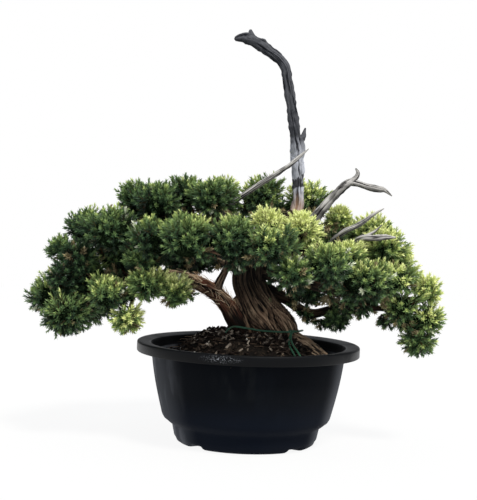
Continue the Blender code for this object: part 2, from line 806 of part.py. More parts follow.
def spray_mesh(spray, number, samples):
    """Points and faces of a spray: a lumpy core, and a shoot raised from each face that has room."""
    rng = np.random.default_rng((SEED, number))
    area = 4 * math.pi * (spray.reach * CORE_SHARE) ** 2
    corners = int(np.clip(round(area / CORNER_SPACING**2), FEWEST_CORNERS, MOST_CORNERS))
    directions = lattice(corners, 2 * math.pi * rng.random())
    points = []
    for direction in directions:
        line = unit(direction * np.array((1, 1, FLATNESS)))
        lump = 1 + CORE_LUMPS * (2 * rng.random() - 1)
        points.append(spray.centre + line * spray.reach_along(line, CORE_SHARE * lump, CORE_GAP))
    faces = []
    for face in hull_faces(directions):
        grown = shoot(spray, np.array([points[i] for i in face]), rng, samples)
        if grown is None:
            faces.append(tuple(face))
            continue
        stem, middle, tips = grown
        first = len(points)
        points += [*stem, middle, *tips]
        centre = first + NEEDLES
        for i in range(NEEDLES):
            j = (i + 1) % NEEDLES
            low, high, tip = first + i, first + j, centre + 1 + i
            faces += [(face[i], face[j], high), (face[i], high, low)]
            faces += [(low, high, tip), (high, centre, tip), (centre, low, tip)]
    return points, faces


def make_spray(spray, number, wood, samples):
    """A spray of foliage, hollowed for the twig that carries it and for any wood that passes."""
    obj = mesh_object(spray.name, *spray_mesh(spray, number, samples), "foliage", spray.centre)
    cutters = []
    for piece in wood:
        near = piece.samples()
        apart = np.linalg.norm(spray.stretched(near[:, :3] - spray.centre), axis=1) - near[:, 3]
        if apart.min() < CORE_SHARE * (1 + CORE_LUMPS) * spray.reach + 2 * GAP:
            cutters.append(piece.cutter())
    boolean(obj, cutters, "DIFFERENCE")
    keep_largest_body(obj)
    return obj


def shade(obj):
    """Smooth shading, but for the sharp edges."""
    obj.data.shade_smooth()
    obj.data.set_sharp_from_angle(angle=SHARP_ANGLE)


def main():
    """Clears the scene, makes every piece and parents it to one empty at the pot's foot."""
    for obj in list(bpy.data.objects):
        bpy.data.objects.remove(obj)
    living, dead, tie = living_wood(), dead_wood(), tie_wood()
    make_pot()
    in_soil = [w for w in living if w.name == "trunk" or w.name.startswith(("root", "limb_first"))]
    make_soil([w.cutter() for w in in_soil + tie])
    joined("trunk", living, "bark")
    for name, arms in dead.items():
        piece = joined(name, arms, "dead_wood")
        boolean(piece, [w.cutter() for w in living if any(w.meets(arm) for arm in arms)], "DIFFERENCE")
        keep_largest_body(piece)
    joined("tie_wire", tie, "green_wire")
    wood = living + [arm for arms in dead.values() for arm in arms]
    samples = np.vstack([w.samples() for w in wood + tie])
    for number, spray in enumerate(all_sprays()):
        make_spray(spray, number, wood, samples)
    whole = bpy.data.objects.new("juniper_bonsai", None)
    for piece in list(bpy.data.objects):
        if piece is not whole:
            piece.parent = whole
            shade(piece)
    bpy.context.scene.collection.objects.link(whole)


main()
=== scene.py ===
"""Finished surfaces of a juniper bonsai in a round training pot, laid over the part's fixed frame.

Lengths are in metres unless a table says millimetres. The tree is seen from -Y, and +Z is up.
"""

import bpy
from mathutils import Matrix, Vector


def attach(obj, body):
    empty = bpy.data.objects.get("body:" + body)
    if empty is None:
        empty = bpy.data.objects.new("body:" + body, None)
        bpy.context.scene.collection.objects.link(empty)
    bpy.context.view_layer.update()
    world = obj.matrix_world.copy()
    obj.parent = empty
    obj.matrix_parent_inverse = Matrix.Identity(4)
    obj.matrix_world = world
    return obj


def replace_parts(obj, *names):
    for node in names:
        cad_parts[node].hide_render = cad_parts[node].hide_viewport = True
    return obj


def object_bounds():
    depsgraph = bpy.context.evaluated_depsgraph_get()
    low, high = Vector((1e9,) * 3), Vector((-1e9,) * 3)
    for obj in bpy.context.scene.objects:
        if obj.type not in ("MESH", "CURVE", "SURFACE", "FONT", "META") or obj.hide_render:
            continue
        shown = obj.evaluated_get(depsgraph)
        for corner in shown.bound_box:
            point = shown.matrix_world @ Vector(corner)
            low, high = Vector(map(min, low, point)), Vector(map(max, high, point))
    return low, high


bl_info = {
    "name": "Juniper bonsai",
    "version": (1, 0, 0),
    "blender": (4, 5, 0),
    "location": "3D View > Sidebar > Bonsai",
    "description": "Adds a small juniper with needles, bark, dead wood, soil and its pot",
    "category": "Add Mesh",
}

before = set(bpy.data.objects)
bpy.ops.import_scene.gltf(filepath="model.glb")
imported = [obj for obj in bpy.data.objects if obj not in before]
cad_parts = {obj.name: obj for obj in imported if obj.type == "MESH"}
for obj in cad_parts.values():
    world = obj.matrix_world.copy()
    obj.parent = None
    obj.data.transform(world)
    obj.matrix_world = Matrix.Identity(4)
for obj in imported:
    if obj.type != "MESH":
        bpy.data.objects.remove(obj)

import itertools
import math

import bpy
import numpy as np
from bpy.props import FloatProperty, FloatVectorProperty, IntProperty, PointerProperty
from mathutils import Matrix, Vector

CAD_BOX = [list(corner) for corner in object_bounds()]
# Every point is kept inside this box, a hair within the solids' own
INNER_BOX = np.array(CAD_BOX) + [(0.00005, 0.00005, 0.0), (-0.00005, -0.00005, -0.00005)]

MM = 0.001
TAU = 2 * math.pi
UP = np.array((0.0, 0.0, 1.0))
GOLDEN_ANGLE = math.pi * (3 - math.sqrt(5))
WORD = 0xFFFFFFFF
MAP = "OFBake"
SEED = 7

# Camera: where it stands, what it looks at, its roll, and half of what it sees at a distance of 1
CAMERA_PLACE = (0.0, -1.4, 0.265)
CAMERA_TARGET = (-0.0144, 0.0, 0.2076)
CAMERA_ROLL = math.radians(2.06)
HALF_VIEW = 250 / 1301
SENSOR = 36.0

# Stage: the floor, how white it is and where it fades, and the directions and colours of the light
FLOOR_RADIUS = 14.0
FLOOR_WHITE = 0.91
FLOOR_FADE = (0.35, 2.2)
SUN_SPREAD = math.radians(14)
SUN_TURN = (math.radians(34), 0.0, math.radians(28))
SUN_COLOUR = (1.0, 0.97, 0.90)
SKY_WHITE_TO = 0.16
SKY_TINT_FROM = 0.42
SKY_TINT = (0.92, 0.97, 1.05)

# Pot, to the solid's sizes
POT_HEIGHT = 0.108
WALL = 0.0022
FLOOR = 0.0028
RIM_RADIUS = 0.120
RIM_DROP = 0.0106
MOUTH_RADIUS = 0.1052
BEAD_Z = 0.0990
BELLY_RADIUS = 0.0997
BELLY_Z = 0.061
SHOULDER_RADIUS = 0.0912
SHOULDER_Z = 0.029
FOOT_TOP_RADIUS = 0.0800
FOOT_TOP_Z = 0.021
FOOT_RADIUS = 0.0755
NOTCHES = 4
NOTCH_HALF = 0.0105
NOTCH_HEIGHT = 0.0048
DRAIN_RADIUS = 0.0055
DRAIN_CIRCLE = 0.052
SHARP_EDGE = math.radians(50)

# Marks on the pot, as x and z: pale scuffs on the rim, partly painted glints, and a faint cloud below it
SCUFF_AND_GLINT_PLACE = (-0.029, 0.1030)
CLOUD_PLACE = (-0.006, 0.079)

# Soil, to the solid's sizes
SOIL_RADIUS = 0.0978
SOIL_EDGE_Z = 0.092
SOIL_TOP_Z = 0.1185
SOIL_FLOOR_Z = 0.012
BALL_TOP_RADIUS = 0.042
BALL_FOOT_RADIUS = 0.090
TRUNK_FOOT = (0.037, 0.003)
TRUNK_FOOT_RADIUS = 0.023
SOIL_SIDES = 168

# Loose bits on the soil and on the bark, in millimetres: least and greatest half sizes, radii and steps
CHIP_SIZES = ((1.4, 4.4), (0.6, 1.5), (0.3, 0.7))
GRAIN_SIZE = (0.6, 1.2)
GRAIN_SHAPE = (1.0, 0.8, 0.7)
ROOT_THREAD_RADIUS = (0.25, 0.55)
ROOT_THREAD_STEP = (1.2, 3.0)
PEELINGS = 120
PEELING_RADIUS = (0.16, 0.42)
PEELING_STEP = (1.4, 3.2)
PEELING_PLACES = (61, 84)
WHOLE_TONE = (0.02, 0.98)

# Trunk and surface roots: centre line and radius, in millimetres
TRUNK_ROUTE = (
    (40, 4, 78, 25), (35, 3, 98, 26), (27, 0, 123, 22.5), (12, 0, 146, 19.5), (3, 0, 164, 17.5),
    (0, 0, 181, 17.5), (9, 0, 206, 14.5), (29, 0, 230, 11), (46, 0, 247, 8.6),
)
TRUNK_LOBES = ((3, 0.10, 1.1), (5, 0.05, -0.7))
ROOTS = (
    ((40, -4, 112, 15), (62, -12, 106, 10), (82, -19, 95, 6.5), (92, -24, 82, 4)),
    ((24, -8, 110, 12), (8, -30, 109, 7), (-6, -48, 103, 4.5), (-12, -56, 94, 3)),
    ((30, 10, 108, 13), (18, 36, 107, 8), (8, 56, 98, 5), (4, 64, 88, 3)),
    ((44, 8, 108, 14), (62, 28, 104, 8), (74, 44, 94, 5), (80, 50, 84, 3)),
)
# The web of wood in the fork between the trunk and its lowest limb
CROTCH = ((8, 0, 104, 14), (0, -3, 122, 11), (-6, -5, 136, 9.5), (-11, -6, 148, 7), (-15, -7, 157, 3.5))

# Limbs, in millimetres: girth is the radius at the root and the end, route the centre line, and each
# spray is x, y, z, reach and tone, from 0 for deep blue-green to 1 for sunlit yellow-green; the tone is
# partly the needles' own colour and partly painted light and shade. A limb ends in its first spray and
# sends a twig to each of the others. A cluster is a few shaded shoots between sprays, given in the same
# way.
LIMBS = {
    "first_left": {
        "girth": (13.0, 3.0),
        "route": (
            (22, 0, 98), (0, -4, 113), (-15, -8, 133), (-24, -10, 148), (-38, -13, 162), (-60, -17, 173),
            (-90, -16, 178), (-125, -10, 172), (-158, -4, 160), (-190, 0, 152),
        ),
        "sprays": (
            (-213, 0, 150, 37, 0.40), (-193, -36, 134, 36, 0.18), (-178, 0, 182, 35, 0.30),
            (-202, -9, 200, 23, 0.26), (-148, -44, 156, 32, 0.44), (-180, 44, 140, 38, 0.25),
            (-106, -54, 170, 28, 0.74), (-79, -54, 163, 25, 0.80), (-128, -50, 135, 20, 1.05),
            (-116, -52, 192, 24, 0.30), (-148, 12, 192, 33, 0.25),
        ),
        "clusters": ((-184, -26, 194, 15, 0.30), (-197, -24, 170, 15, 0.26)),
    },
    "left_mid": {
        "girth": (8.5, 3.0),
        "route": (
            (-2, 0, 183), (-30, 5, 196), (-70, 8, 205), (-110, 4, 207), (-150, 0, 207), (-170, 0, 212),
        ),
        "sprays": (
            (-177, 0, 222, 34, 0.20), (-148, -42, 222, 37, 0.18), (-150, 40, 214, 38, 0.35),
            (-104, -54, 217, 37, 0.26), (-68, 42, 194, 38, 0.20),
        ),
    },
    "left_top": {
        "girth": (8.0, 2.8),
        "route": ((8, 0, 205), (-14, 2, 224), (-45, 5, 237), (-80, 4, 241), (-108, 0, 247)),
        "sprays": (
            (-126, 0, 255, 29, 0.18), (-98, -36, 254, 34, 0.18), (-102, 40, 246, 37, 0.30),
            (-72, 0, 264, 30, 0.22), (-46, -30, 260, 31, 0.30), (-36, 34, 262, 33, 0.45),
            (-64, -78, 217, 38, 0.26),
        ),
    },
    "riser": {
        "girth": (5.5, 2.6),
        "route": ((-37, -13, 161), (-33, -17, 174), (-27, -26, 187), (-22, -58, 204)),
        "sprays": ((-20, -86, 218, 38, 0.28),),
    },
    "crown": {
        "girth": (7.0, 2.6),
        "route": ((16, 0, 215), (16, -18, 230)),
        "sprays": ((18, -46, 233, 29, 1.32), (50, -48, 232, 29, 1.40), (16, -92, 214, 33, 0.36)),
    },
    "crown_back": {
        "girth": (7.0, 2.4),
        "route": ((24, 0, 226), (24, 20, 243)),
        "sprays": ((8, 44, 262, 36, 0.45), (56, 34, 261, 32, 0.72), (93, 14, 243, 20, 1.05)),
    },
    "right_top": {
        "girth": (8.0, 2.6),
        "route": ((12, 0, 210), (50, 5, 213), (85, 5, 213), (112, 4, 209)),
        "sprays": (
            (142, -4, 216, 31, 0.88), (130, 36, 226, 35, 0.84), (98, -40, 203, 29, 0.66),
            (158, 16, 198, 28, 1.04),
        ),
    },
    "right_mid": {
        "girth": (8.5, 2.6),
        "route": (
            (6, 0, 186), (40, -22, 181), (78, -28, 173), (115, -14, 165), (150, -3, 159), (178, 0, 161),
        ),
        "sprays": (
            (187, 0, 168, 25, 0.92), (152, -16, 182, 34, 0.80), (116, -44, 180, 36, 0.58),
            (78, -76, 196, 33, 0.46), (42, -82, 188, 30, 0.32),
        ),
    },
    "right_low": {
        "girth": (7.0, 3.0),
        "route": (
            (10, 2, 170), (36, 8, 157), (54, 10, 146), (68, 10, 141), (84, 10, 145), (108, 10, 152),
            (138, 5, 150),
        ),
        "sprays": (
            (162, -6, 152, 32, 0.62), (188, 4, 138, 30, 0.62), (183, 0, 119, 23, 0.58),
            (122, 30, 160, 36, 0.14), (94, -4, 136, 13, 0.12), (60, -14, 165, 25, 0.02),
        ),
    },
    "back_left": {
        "girth": (8.5, 2.8),
        "route": ((4, 4, 188), (-14, 42, 203), (-48, 76, 202)),
        "sprays": ((-80, 98, 204, 42, 0.40), (-26, 102, 228, 42, 0.45), (-138, 88, 186, 38, 0.38)),
    },
    "back_right": {
        "girth": (8.5, 2.8),
        "route": ((6, 4, 194), (28, 42, 202), (60, 74, 204)),
        "sprays": ((90, 98, 208, 42, 0.45), (36, 104, 208, 44, 0.42), (136, 76, 196, 38, 0.50)),
    },
}
LIMB_TAPER = 0.8
LIMB_LOBES = ((2, 0.05, 1.5),)
THICK_LIMB = 10
TWIG_RADIUS = 0.0027
TWIG_END_RADIUS = 0.0016
TWIG_SHARE_OF_LIMB = 0.75
TWIG_LEAD = 0.012
TWIG_SAG = 0.06
ENTRY_SHARE = 0.2

# Fineness of the wood: length of a step along it, or number of steps, and number of sides
TRUNK_STEPS, TRUNK_SIDES = 130, 208
ROOT_STEPS, ROOT_SIDES = 44, 36
THICK_LIMB_STEP, THICK_LIMB_SIDES = 0.0016, 72
THIN_LIMB_STEP, THIN_LIMB_SIDES = 0.0032, 20
TWIG_STEPS, TWIG_SIDES = 10, 8
LEADER_STEP, LEADER_SIDES = 0.0012, 44
BRANCH_STEP, BRANCH_SIDES = 0.0014, 24
SIDE_ARM_SIDES = 16
FEWEST_STEPS = 24
END_BULGE = 0.5

# Heights between which painted shade darkens the bark: the trunk's upward, the lowest limb's downward
TRUNK_SHADE = (0.128, 0.172)
LIMB_FOOT_SHADE = (0.130, 0.153)

# Dead wood: centre line and radius in millimetres of each arm
DEAD_WOOD = {
    "dead_leader": (
        (
            (43, 0, 243, 7.8), (47.5, 0, 258, 6.8), (47.5, 0, 274, 5.8), (47, 0, 290, 5.6), (46, 0, 303, 6.1),
            (45, 0, 320, 7.2), (42, 0, 334, 6.2), (38.5, 0, 352, 5.7), (35, 0, 372, 5.4), (31.5, 0, 391, 5.1),
            (28.5, 0, 405, 5.2), (20, 0, 415, 5.3), (10, 0, 422, 5.6), (3, 0, 427, 6.3), (-3, 0, 430, 5.6),
            (-10, 0, 433.5, 7.0), (-17, 0, 435, 5.6), (-26, 0, 433.5, 2.6),
        ),
        ((43, 0, 323, 4.0), (50, 0, 331, 3.4), (52.5, 0, 341, 0.8)),
        ((-7, 0, 432, 4.6), (-9, 0, 438, 4.0), (-10, 0, 444, 1.0)),
    ),
    "jin_left": (
        (
            (-36, 4, 236, 3.2), (-30, -14, 251, 2.9), (-14, -25, 264.5, 2.8), (3, -27, 277, 2.6),
            (22.5, -27, 290, 2.4), (38.5, -26, 301.5, 2.2), (48.5, -25, 311, 1.6), (56, -25, 318, 0.5),
        ),
    ),
    "jin_right_forked": (
        (
            (34, 2, 221, 5.5), (54, -2, 231, 5.8), (68, -6, 247.5, 5.5), (79, -8, 261, 5.1),
            (90, -8, 274, 4.7), (101, -8, 284, 4.2), (110, -8, 283.5, 3.4), (121, -9, 280.5, 3.3),
            (132, -10, 278.5, 3.6), (139, -10, 277.5, 2.4), (147, -11, 271.5, 0.5),
        ),
        ((99, -8, 282, 4.0), (108, -8, 290, 2.8), (110, -8, 295, 2.3), (107.5, -8, 299.5, 0.8)),
    ),
    "jin_right_thin": (
        (
            (80, 5, 213, 3.0), (89, -14, 225, 2.7), (99, -20, 233, 2.6), (109, -20, 238, 2.6),
            (118, -20, 244, 2.4), (127, -20, 251, 1.7), (138, -20, 258, 0.5),
        ),
    ),
    "jin_right_low": (
        (
            (99, 5, 211, 3.0), (107, -17, 220, 3.0), (116, -28, 226, 3.2), (128, -30, 227, 3.4),
            (140, -30, 228, 3.0), (151, -29, 228, 0.8),
        ),
        ((117, -28, 227, 1.6), (128, -29, 233, 1.5), (136, -29, 241, 0.5)),
    ),
}

DEAD_CRACK = 0.0018
LEADER_KNOBS = 0.34
BRANCH_KNOBS = 0.24

# Heights on the leader: pale below these, brown at its foot, and a tilted dark ring between these
LEADER_PALE = (0.305, 0.335)
LEADER_BROWN = (0.252, 0.276)
RING_LOW = (0.276, 0.2785)
RING_HIGH = (0.2845, 0.287)
RING_X = 0.047
RING_TILT = 0.75

# Tie wire, in millimetres: a strand over the trunk's foot and two tails from the knot
TIE_STRANDS = (
    (
        (-28, -23, 108), (-25, -25, 120), (-17, -26, 127), (-4, -28, 126.5), (12.5, -30, 124.5),
        (32, -31, 124), (45, -30, 124.5), (53.5, -21, 124.5), (57.5, -7, 124), (56.5, 9, 122), (50, 24, 118),
        (43, 35, 106),
    ),
    (
        (45, -30, 124.5), (44.5, -38, 117.5), (46.5, -47, 112.5), (50.5, -56, 107.5), (53.5, -62, 103),
        (56, -66, 97), (57, -68, 89),
    ),
    ((45, -30, 124.5), (42.5, -38, 116), (43.5, -46, 110), (48, -53, 103), (51, -58, 96), (52, -60, 88)),
)
WIRE_RADIUS = 0.0010
WIRE_SIDES = 10
KNOT_TURNS = 2.5
KNOT_STEPS = 60
KNOT_HALF_WIDTH = 0.0026
KNOT_RADIUS = 0.0014
KNOT_WIRE_RADIUS = 0.0008

# Sprays: their height over their width, the space between tufts, and how the low ones hang
FLATNESS = 0.76
TUFT_SPACING = 0.0115
TUFT_GROWTH = 0.22
BACK_TUFTS_FROM = 0.06
BACK_TUFT_GAP = 0.0015
FEWEST_TUFTS = 6
TUFT_CONE = math.radians(54)
HANG_BELOW = 0.158
HANG_OVER = 0.024
SHORT_SHOOT_REACH = 0.026
BRANCHLET_RADIUS = 0.0010
SHOOT_RADIUS = 0.0006
BEND = 0.16 * UP

# Needles: how many to a whorl, where they are widest and keeled, their splay in degrees, their tones
WHORL = 3
FIRST_WHORL = 0.14
WIDEST_AT = 0.42
KEEL = 0.55
SPLAY_AT_FOOT = 48
SPLAY_LOST = 26
GREENS = (0.17, 0.95)
PALE_TONE = 0.99
PALE_SHARE = 0.012

# Shaded shoots: the bare first share of each limb, the step between them, and how deep in a spray they go
BARE_SHARE = {"first_left": 0.55, "right_low": 0.05, "right_mid": 0.15}
USUAL_BARE_SHARE = 0.3
CLOSE_STEP = 0.0075
WIDE_STEP = 0.011
INNER_DEPTH = {"first_left": 0.52, "right_low": 0.55}
USUAL_INNER_DEPTH = 0.70
INNER_SHOOT_SHARE = 0.85
INNER_DRY_SHARE = 0.32
CLUSTER_TUFTS = 14
CLUSTER_CORE = 0.4
CLUSTER_DRY_SHARE = 0.10

# Dark middles of the sprays, painted shade in their depths: how far they lie below the surface, and
# their rings and sides
HEART_DEPTH = 0.0175
HEART_RINGS, HEART_SIDES = 9, 14
HEART_POLE = 0.12

# Colours over the needles' tones, dry at the low end and pale at the top, and along one a painted
# shade that darkens its foot
NEEDLE_STOPS = (
    (0.00, (0.56, 0.48, 0.29)), (0.06, (0.34, 0.28, 0.15)), (0.13, (0.13, 0.11, 0.050)),
    (0.17, (0.014, 0.030, 0.018)), (0.35, (0.044, 0.092, 0.042)), (0.55, (0.118, 0.200, 0.076)),
    (0.75, (0.265, 0.380, 0.128)), (0.90, (0.600, 0.700, 0.235)), (0.96, (0.930, 0.980, 0.450)),
    (0.98, (0.820, 0.870, 0.680)),
)
NEEDLE_ALONG = ((0.0, (0.30, 0.30, 0.28)), (0.40, (0.78, 0.78, 0.74)), (1.0, (1.0, 1.0, 1.0)))
STEM_STOPS = ((0.0, (0.05, 0.028, 0.018)), (0.5, (0.12, 0.07, 0.04)), (1.0, (0.10, 0.12, 0.04)))


class StageSettings(bpy.types.PropertyGroup):
    """The floor and the lights."""

    floor_colour: FloatVectorProperty(
        name="Floor", description="Colour of the floor", subtype="COLOR", default=(0.68, 0.68, 0.68)
    )
    sun_strength: FloatProperty(name="Sun", description="Strength of the key light", default=3.3)
    sky_strength: FloatProperty(name="Sky", description="Strength of the light overhead", default=0.80)


class PotSettings(bpy.types.PropertyGroup):
    """The pot."""

    segments: IntProperty(name="Segments", description="Steps round the pot", default=160)
    colour: FloatVectorProperty(
        name="Plastic", description="Colour of the plastic", subtype="COLOR", default=(0.0010, 0.0019, 0.0036)
    )


class SoilSettings(bpy.types.PropertyGroup):
    """What fills the pot."""

    clod: FloatProperty(
        name="Clods", description="Height of the soil's lumps", default=0.0026, unit="LENGTH"
    )
    chips: IntProperty(name="Chips", description="Number of bark chips", default=1900)
    grit: IntProperty(name="Grit", description="Number of pale grains", default=26)
    threads: IntProperty(name="Threads", description="Number of fine roots", default=420)


class WoodSettings(bpy.types.PropertyGroup):
    """Bark and dead wood."""

    groove: FloatProperty(
        name="Groove", description="Depth of the bark's grooves", default=0.0026, unit="LENGTH"
    )
    bark_light: FloatVectorProperty(
        name="Bark ridges", description="Colour of the strips", subtype="COLOR", default=(0.52, 0.375, 0.25)
    )
    bark_dark: FloatVectorProperty(
        name="Bark grooves", description="Colour of the grooves", subtype="COLOR",
        default=(0.0055, 0.0045, 0.0040),
    )


class FoliageSettings(bpy.types.PropertyGroup):
    """Shoots and needles."""

    needle: FloatProperty(
        name="Needle", description="Length of a full needle", default=0.0068, unit="LENGTH"
    )
    needle_width: FloatProperty(
        name="Needle width", description="Width where it is widest", default=0.0018, unit="LENGTH"
    )
    shoot: FloatProperty(
        name="Shoot", description="Length of a leafy shoot", default=0.0135, unit="LENGTH"
    )
    shoots: IntProperty(name="Shoots", description="Shoots in a tuft", default=6)
    whorls: IntProperty(name="Whorls", description="Rings of three needles on a shoot", default=7)


def unit(vectors):
    """The vectors scaled to length 1."""
    return vectors / np.linalg.norm(vectors, axis=-1, keepdims=True)


def metres(table):
    """A table in millimetres as an array in metres."""
    return np.array(table, float) * MM


def circling(turn, across, up):
    """The vectors cos(turn) across + sin(turn) up."""
    return np.cos(turn)[..., None] * across + np.sin(turn)[..., None] * up


def dimmed(colour, share):
    """The colour times a number."""
    return tuple(share * part for part in colour)


def lattice_value(x, y, z):
    """A fixed random number from 0 to 1 for each whole-numbered point. The large numbers mix its bits."""
    mixed = x * np.uint32(2376512323) ^ y * np.uint32(3625334849) ^ z * np.uint32(3407524639)
    mixed = (mixed ^ (mixed >> np.uint32(13))) * np.uint32(1540483477)
    mixed = (mixed ^ (mixed >> np.uint32(15))) * np.uint32(2654435761)
    return (mixed ^ (mixed >> np.uint32(16))) / float(WORD)


def noise(points):
    """Smooth random values from -1 to 1: lattice values blended by 6t^5 - 15t^4 + 10t^3 along each axis."""
    cell = np.floor(points)
    part = points - cell
    ease = part**3 * (part * (6 * part - 15) + 10)
    cell = cell.astype(np.int64)
    total = 0
    for corner in itertools.product((0, 1), repeat=3):
        x, y, z = [((cell[..., a] + corner[a]) & WORD).astype(np.uint32) for a in range(3)]
        weight = np.prod([ease[..., a] if corner[a] else 1 - ease[..., a] for a in range(3)], axis=0)
        total = total + weight * lattice_value(x, y, z)
    return 2 * total - 1


def noise_round(turned, size, height):
    """Noise over a stick, read at size x (cos, sin) of the turned angle and at that height."""
    return noise(np.stack([size * np.cos(turned), size * np.sin(turned), height], -1))


def smooth_route(points, count):
    """That many points, evenly spaced, on the Catmull-Rom curve through the given ones."""
    points = np.array(points, float)
    ends = np.vstack([2 * points[0] - points[1], points, 2 * points[-1] - points[-2]])
    fine = []
    t = np.linspace(0, 1, 17)[:-1, None]
    for a, b, c, d in zip(ends, ends[1:], ends[2:], ends[3:]):
        square, cube = 2 * a - 5 * b + 4 * c - d, 3 * b - a - 3 * c + d
        fine.append(b + 0.5 * ((c - a) * t + square * t**2 + cube * t**3))
    fine = np.vstack([*fine, points[-1:]])
    along = np.concatenate([[0], np.cumsum(np.linalg.norm(np.diff(fine[:, :3], axis=0), axis=1))])
    stops = np.linspace(0, along[-1], count)
    return np.stack([np.interp(stops, along, column) for column in fine.T], axis=1)


def route_length(route):
    """Length of a route."""
    return np.linalg.norm(np.diff(route[:, :3], axis=0), axis=1).sum()


def ring_frames(centres):
    """The direction and two unit vectors across it at each point, carried along without twisting."""
    tangents = unit(np.gradient(centres, axis=0))
    side = np.cross(tangents[0], np.eye(3)[np.argmin(abs(tangents[0]))])
    sides = []
    for tangent in tangents:
        side = unit(side - tangent * (side @ tangent))
        sides.append(side)
    sides = np.array(sides)
    return tangents, sides, np.cross(tangents, sides)


class Shape:
    """Surfaces gathered for one mesh: points, triangles, a map for each corner and values for each point."""

    def __init__(self):
        self.points, self.faces, self.maps, self.values = [], [], [], []
        self.count = 0

    def add(self, points, faces, corner_map, values=None):
        """Adds a surface. Values has a row for each point: relief, streak, sky and three for the grain."""
        self.faces.append(faces + self.count)
        self.points.append(points)
        self.maps.append(corner_map)
        if values is not None:
            self.values.append(values)
        self.count += len(points)

    def make(self, name, finish, slot, smooth=True):
        """The mesh object, riding on the part's one body."""
        faces = np.concatenate(self.faces).astype(np.int32)
        mesh = bpy.data.meshes.new(name)
        mesh.vertices.add(self.count)
        points = np.clip(np.concatenate(self.points), *INNER_BOX)
        mesh.vertices.foreach_set("co", points.astype(np.float32).ravel())
        mesh.loops.add(faces.size)
        mesh.loops.foreach_set("vertex_index", faces.ravel())
        mesh.polygons.add(len(faces))
        mesh.polygons.foreach_set("loop_start", np.arange(0, faces.size, 3, dtype=np.int32))
        layer = mesh.uv_layers.new(name=MAP, do_init=False)
        layer.uv.foreach_set("vector", np.concatenate(self.maps).astype(np.float32).ravel())
        if self.values:
            values = np.concatenate(self.values).astype(np.float32)
            for column, value in enumerate(("relief", "streak", "sky")):
                attribute = mesh.attributes.new(value, "FLOAT", "POINT")
                attribute.data.foreach_set("value", np.ascontiguousarray(values[:, column]))
            grain = mesh.attributes.new("grain", "FLOAT_VECTOR", "POINT")
            grain.data.foreach_set("vector", np.ascontiguousarray(values[:, 3:]).ravel())
        mesh.update(calc_edges=True)
        if smooth:
            mesh.shade_smooth()
        else:
            mesh.shade_flat()
        mesh.materials.append(finish)
        obj = bpy.data.objects.new(name, mesh)
        bpy.context.scene.collection.objects.link(obj)
        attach(obj, "root")
        return obj


def add_copies(shape, points, faces, tone, along):
    """Adds many small meshes: the points of each, the faces of the first, and the map's two coordinates."""
    each = math.prod(points.shape[1:-1])
    all_faces = (faces[None] + each * np.arange(len(points))[:, None, None]).reshape(-1, 3)
    flat = np.stack(np.broadcast_arrays(tone, along), -1).reshape(-1, 2)
    shape.add(points.reshape(-1, 3), all_faces, flat[all_faces])


def wrapped_grid(rings, sides, strip):
    """Triangles and corner maps of a closed tube: a grid that wraps round, and a fan to a pole at each end.

    The poles come after the grid's points. The map runs round within the strip, and along from 0 to 1.
    """
    ring, side = np.meshgrid(np.arange(rings - 1), np.arange(sides), indexing="ij")
    ring, side = ring.ravel(), side.ravel()
    after = (side + 1) % sides
    corners = [(ring, side), (ring, after), (ring + 1, after), (ring + 1, side)]
    low, right, far, high = [r * sides + s for r, s in corners]
    flat = [(side, ring), (side + 1, ring), (side + 1, ring + 1), (side, ring + 1)]
    faces = [np.stack([low, right, far], 1), np.stack([low, far, high], 1)]
    maps = [np.stack([np.stack(flat[i], 1) for i in order], 1) for order in ((0, 1, 2), (0, 2, 3))]
    step = np.arange(sides)
    first, last = rings * sides, rings * sides + 1
    start = (rings - 1) * sides
    faces.append(np.stack([(step + 1) % sides, step, np.full(sides, first)], 1))
    faces.append(np.stack([start + step, start + (step + 1) % sides, np.full(sides, last)], 1))
    for at, pole in ((0.0, -1.0), (rings - 1.0, float(rings))):
        near = np.stack([step, np.full(sides, at)], 1)
        next_one = np.stack([step + 1, np.full(sides, at)], 1)
        middle = np.stack([step + 0.5, np.full(sides, pole)], 1)
        maps.append(np.stack([next_one, near, middle] if pole < 0 else [near, next_one, middle], 1))
    corner_map = np.concatenate(maps).astype(float)
    corner_map[..., 0] = strip[0] + (strip[1] - strip[0]) * corner_map[..., 0] / sides
    corner_map[..., 1] = (corner_map[..., 1] + 1) / (rings + 1)
    return np.concatenate(faces), corner_map


def add_tube(shape, route, sides, relief, strip=(0.0, 1.0), twist=0.0):
    """Carries a profile along a route and closes its ends.

    The point at angle a on a ring is centre + (radius + relief) x (cos a across + sin a up). Relief is a
    function of the turned angle, the distance along and the radius, which returns the height added, its
    level from 0 in a groove to 1 on a ridge, and a slow streak. The grain's coordinates are the place on
    a straight stick of the same radius, turned by the twist, with its length drawn in to a twentieth.
    """
    centres, radii = route[:, :3], route[:, 3:4]
    tangents, across, up = ring_frames(centres)
    angle = (np.arange(sides) / sides * TAU)[None, :]
    along = np.concatenate([[0], np.cumsum(np.linalg.norm(np.diff(centres, axis=0), axis=1))])[:, None]
    turned = angle + twist * along
    height, level, streak = relief(turned, np.broadcast_to(along, turned.shape), radii)
    reach = np.maximum(radii + height, 0.3 * radii)[..., None]
    ring = circling(angle, across[:, None], up[:, None])
    grid = centres[:, None] + reach * ring
    first = centres[0] - tangents[0] * END_BULGE * radii[0]
    last = centres[-1] + tangents[-1] * END_BULGE * radii[-1]
    faces, corner_map = wrapped_grid(len(route), sides, strip)
    grain = (radii * np.cos(turned), radii * np.sin(turned), 0.05 * along)
    values = np.stack(np.broadcast_arrays(level, streak, ring[..., 2], *grain), -1).reshape(-1, 6)
    values = np.vstack([values, values[:1], values[-1:]])
    shape.add(np.vstack([grid.reshape(-1, 3), first, last]), faces, corner_map, values)


def plain(turned, along, radius):
    """No relief."""
    return np.zeros(turned.shape), 1.0, 0.5


def strips(shares):
    """Side by side strips of the map with widths in these shares."""
    edges = np.concatenate([[0], np.cumsum(shares)]) / np.sum(shares)
    return list(zip(edges[:-1], edges[1:]))


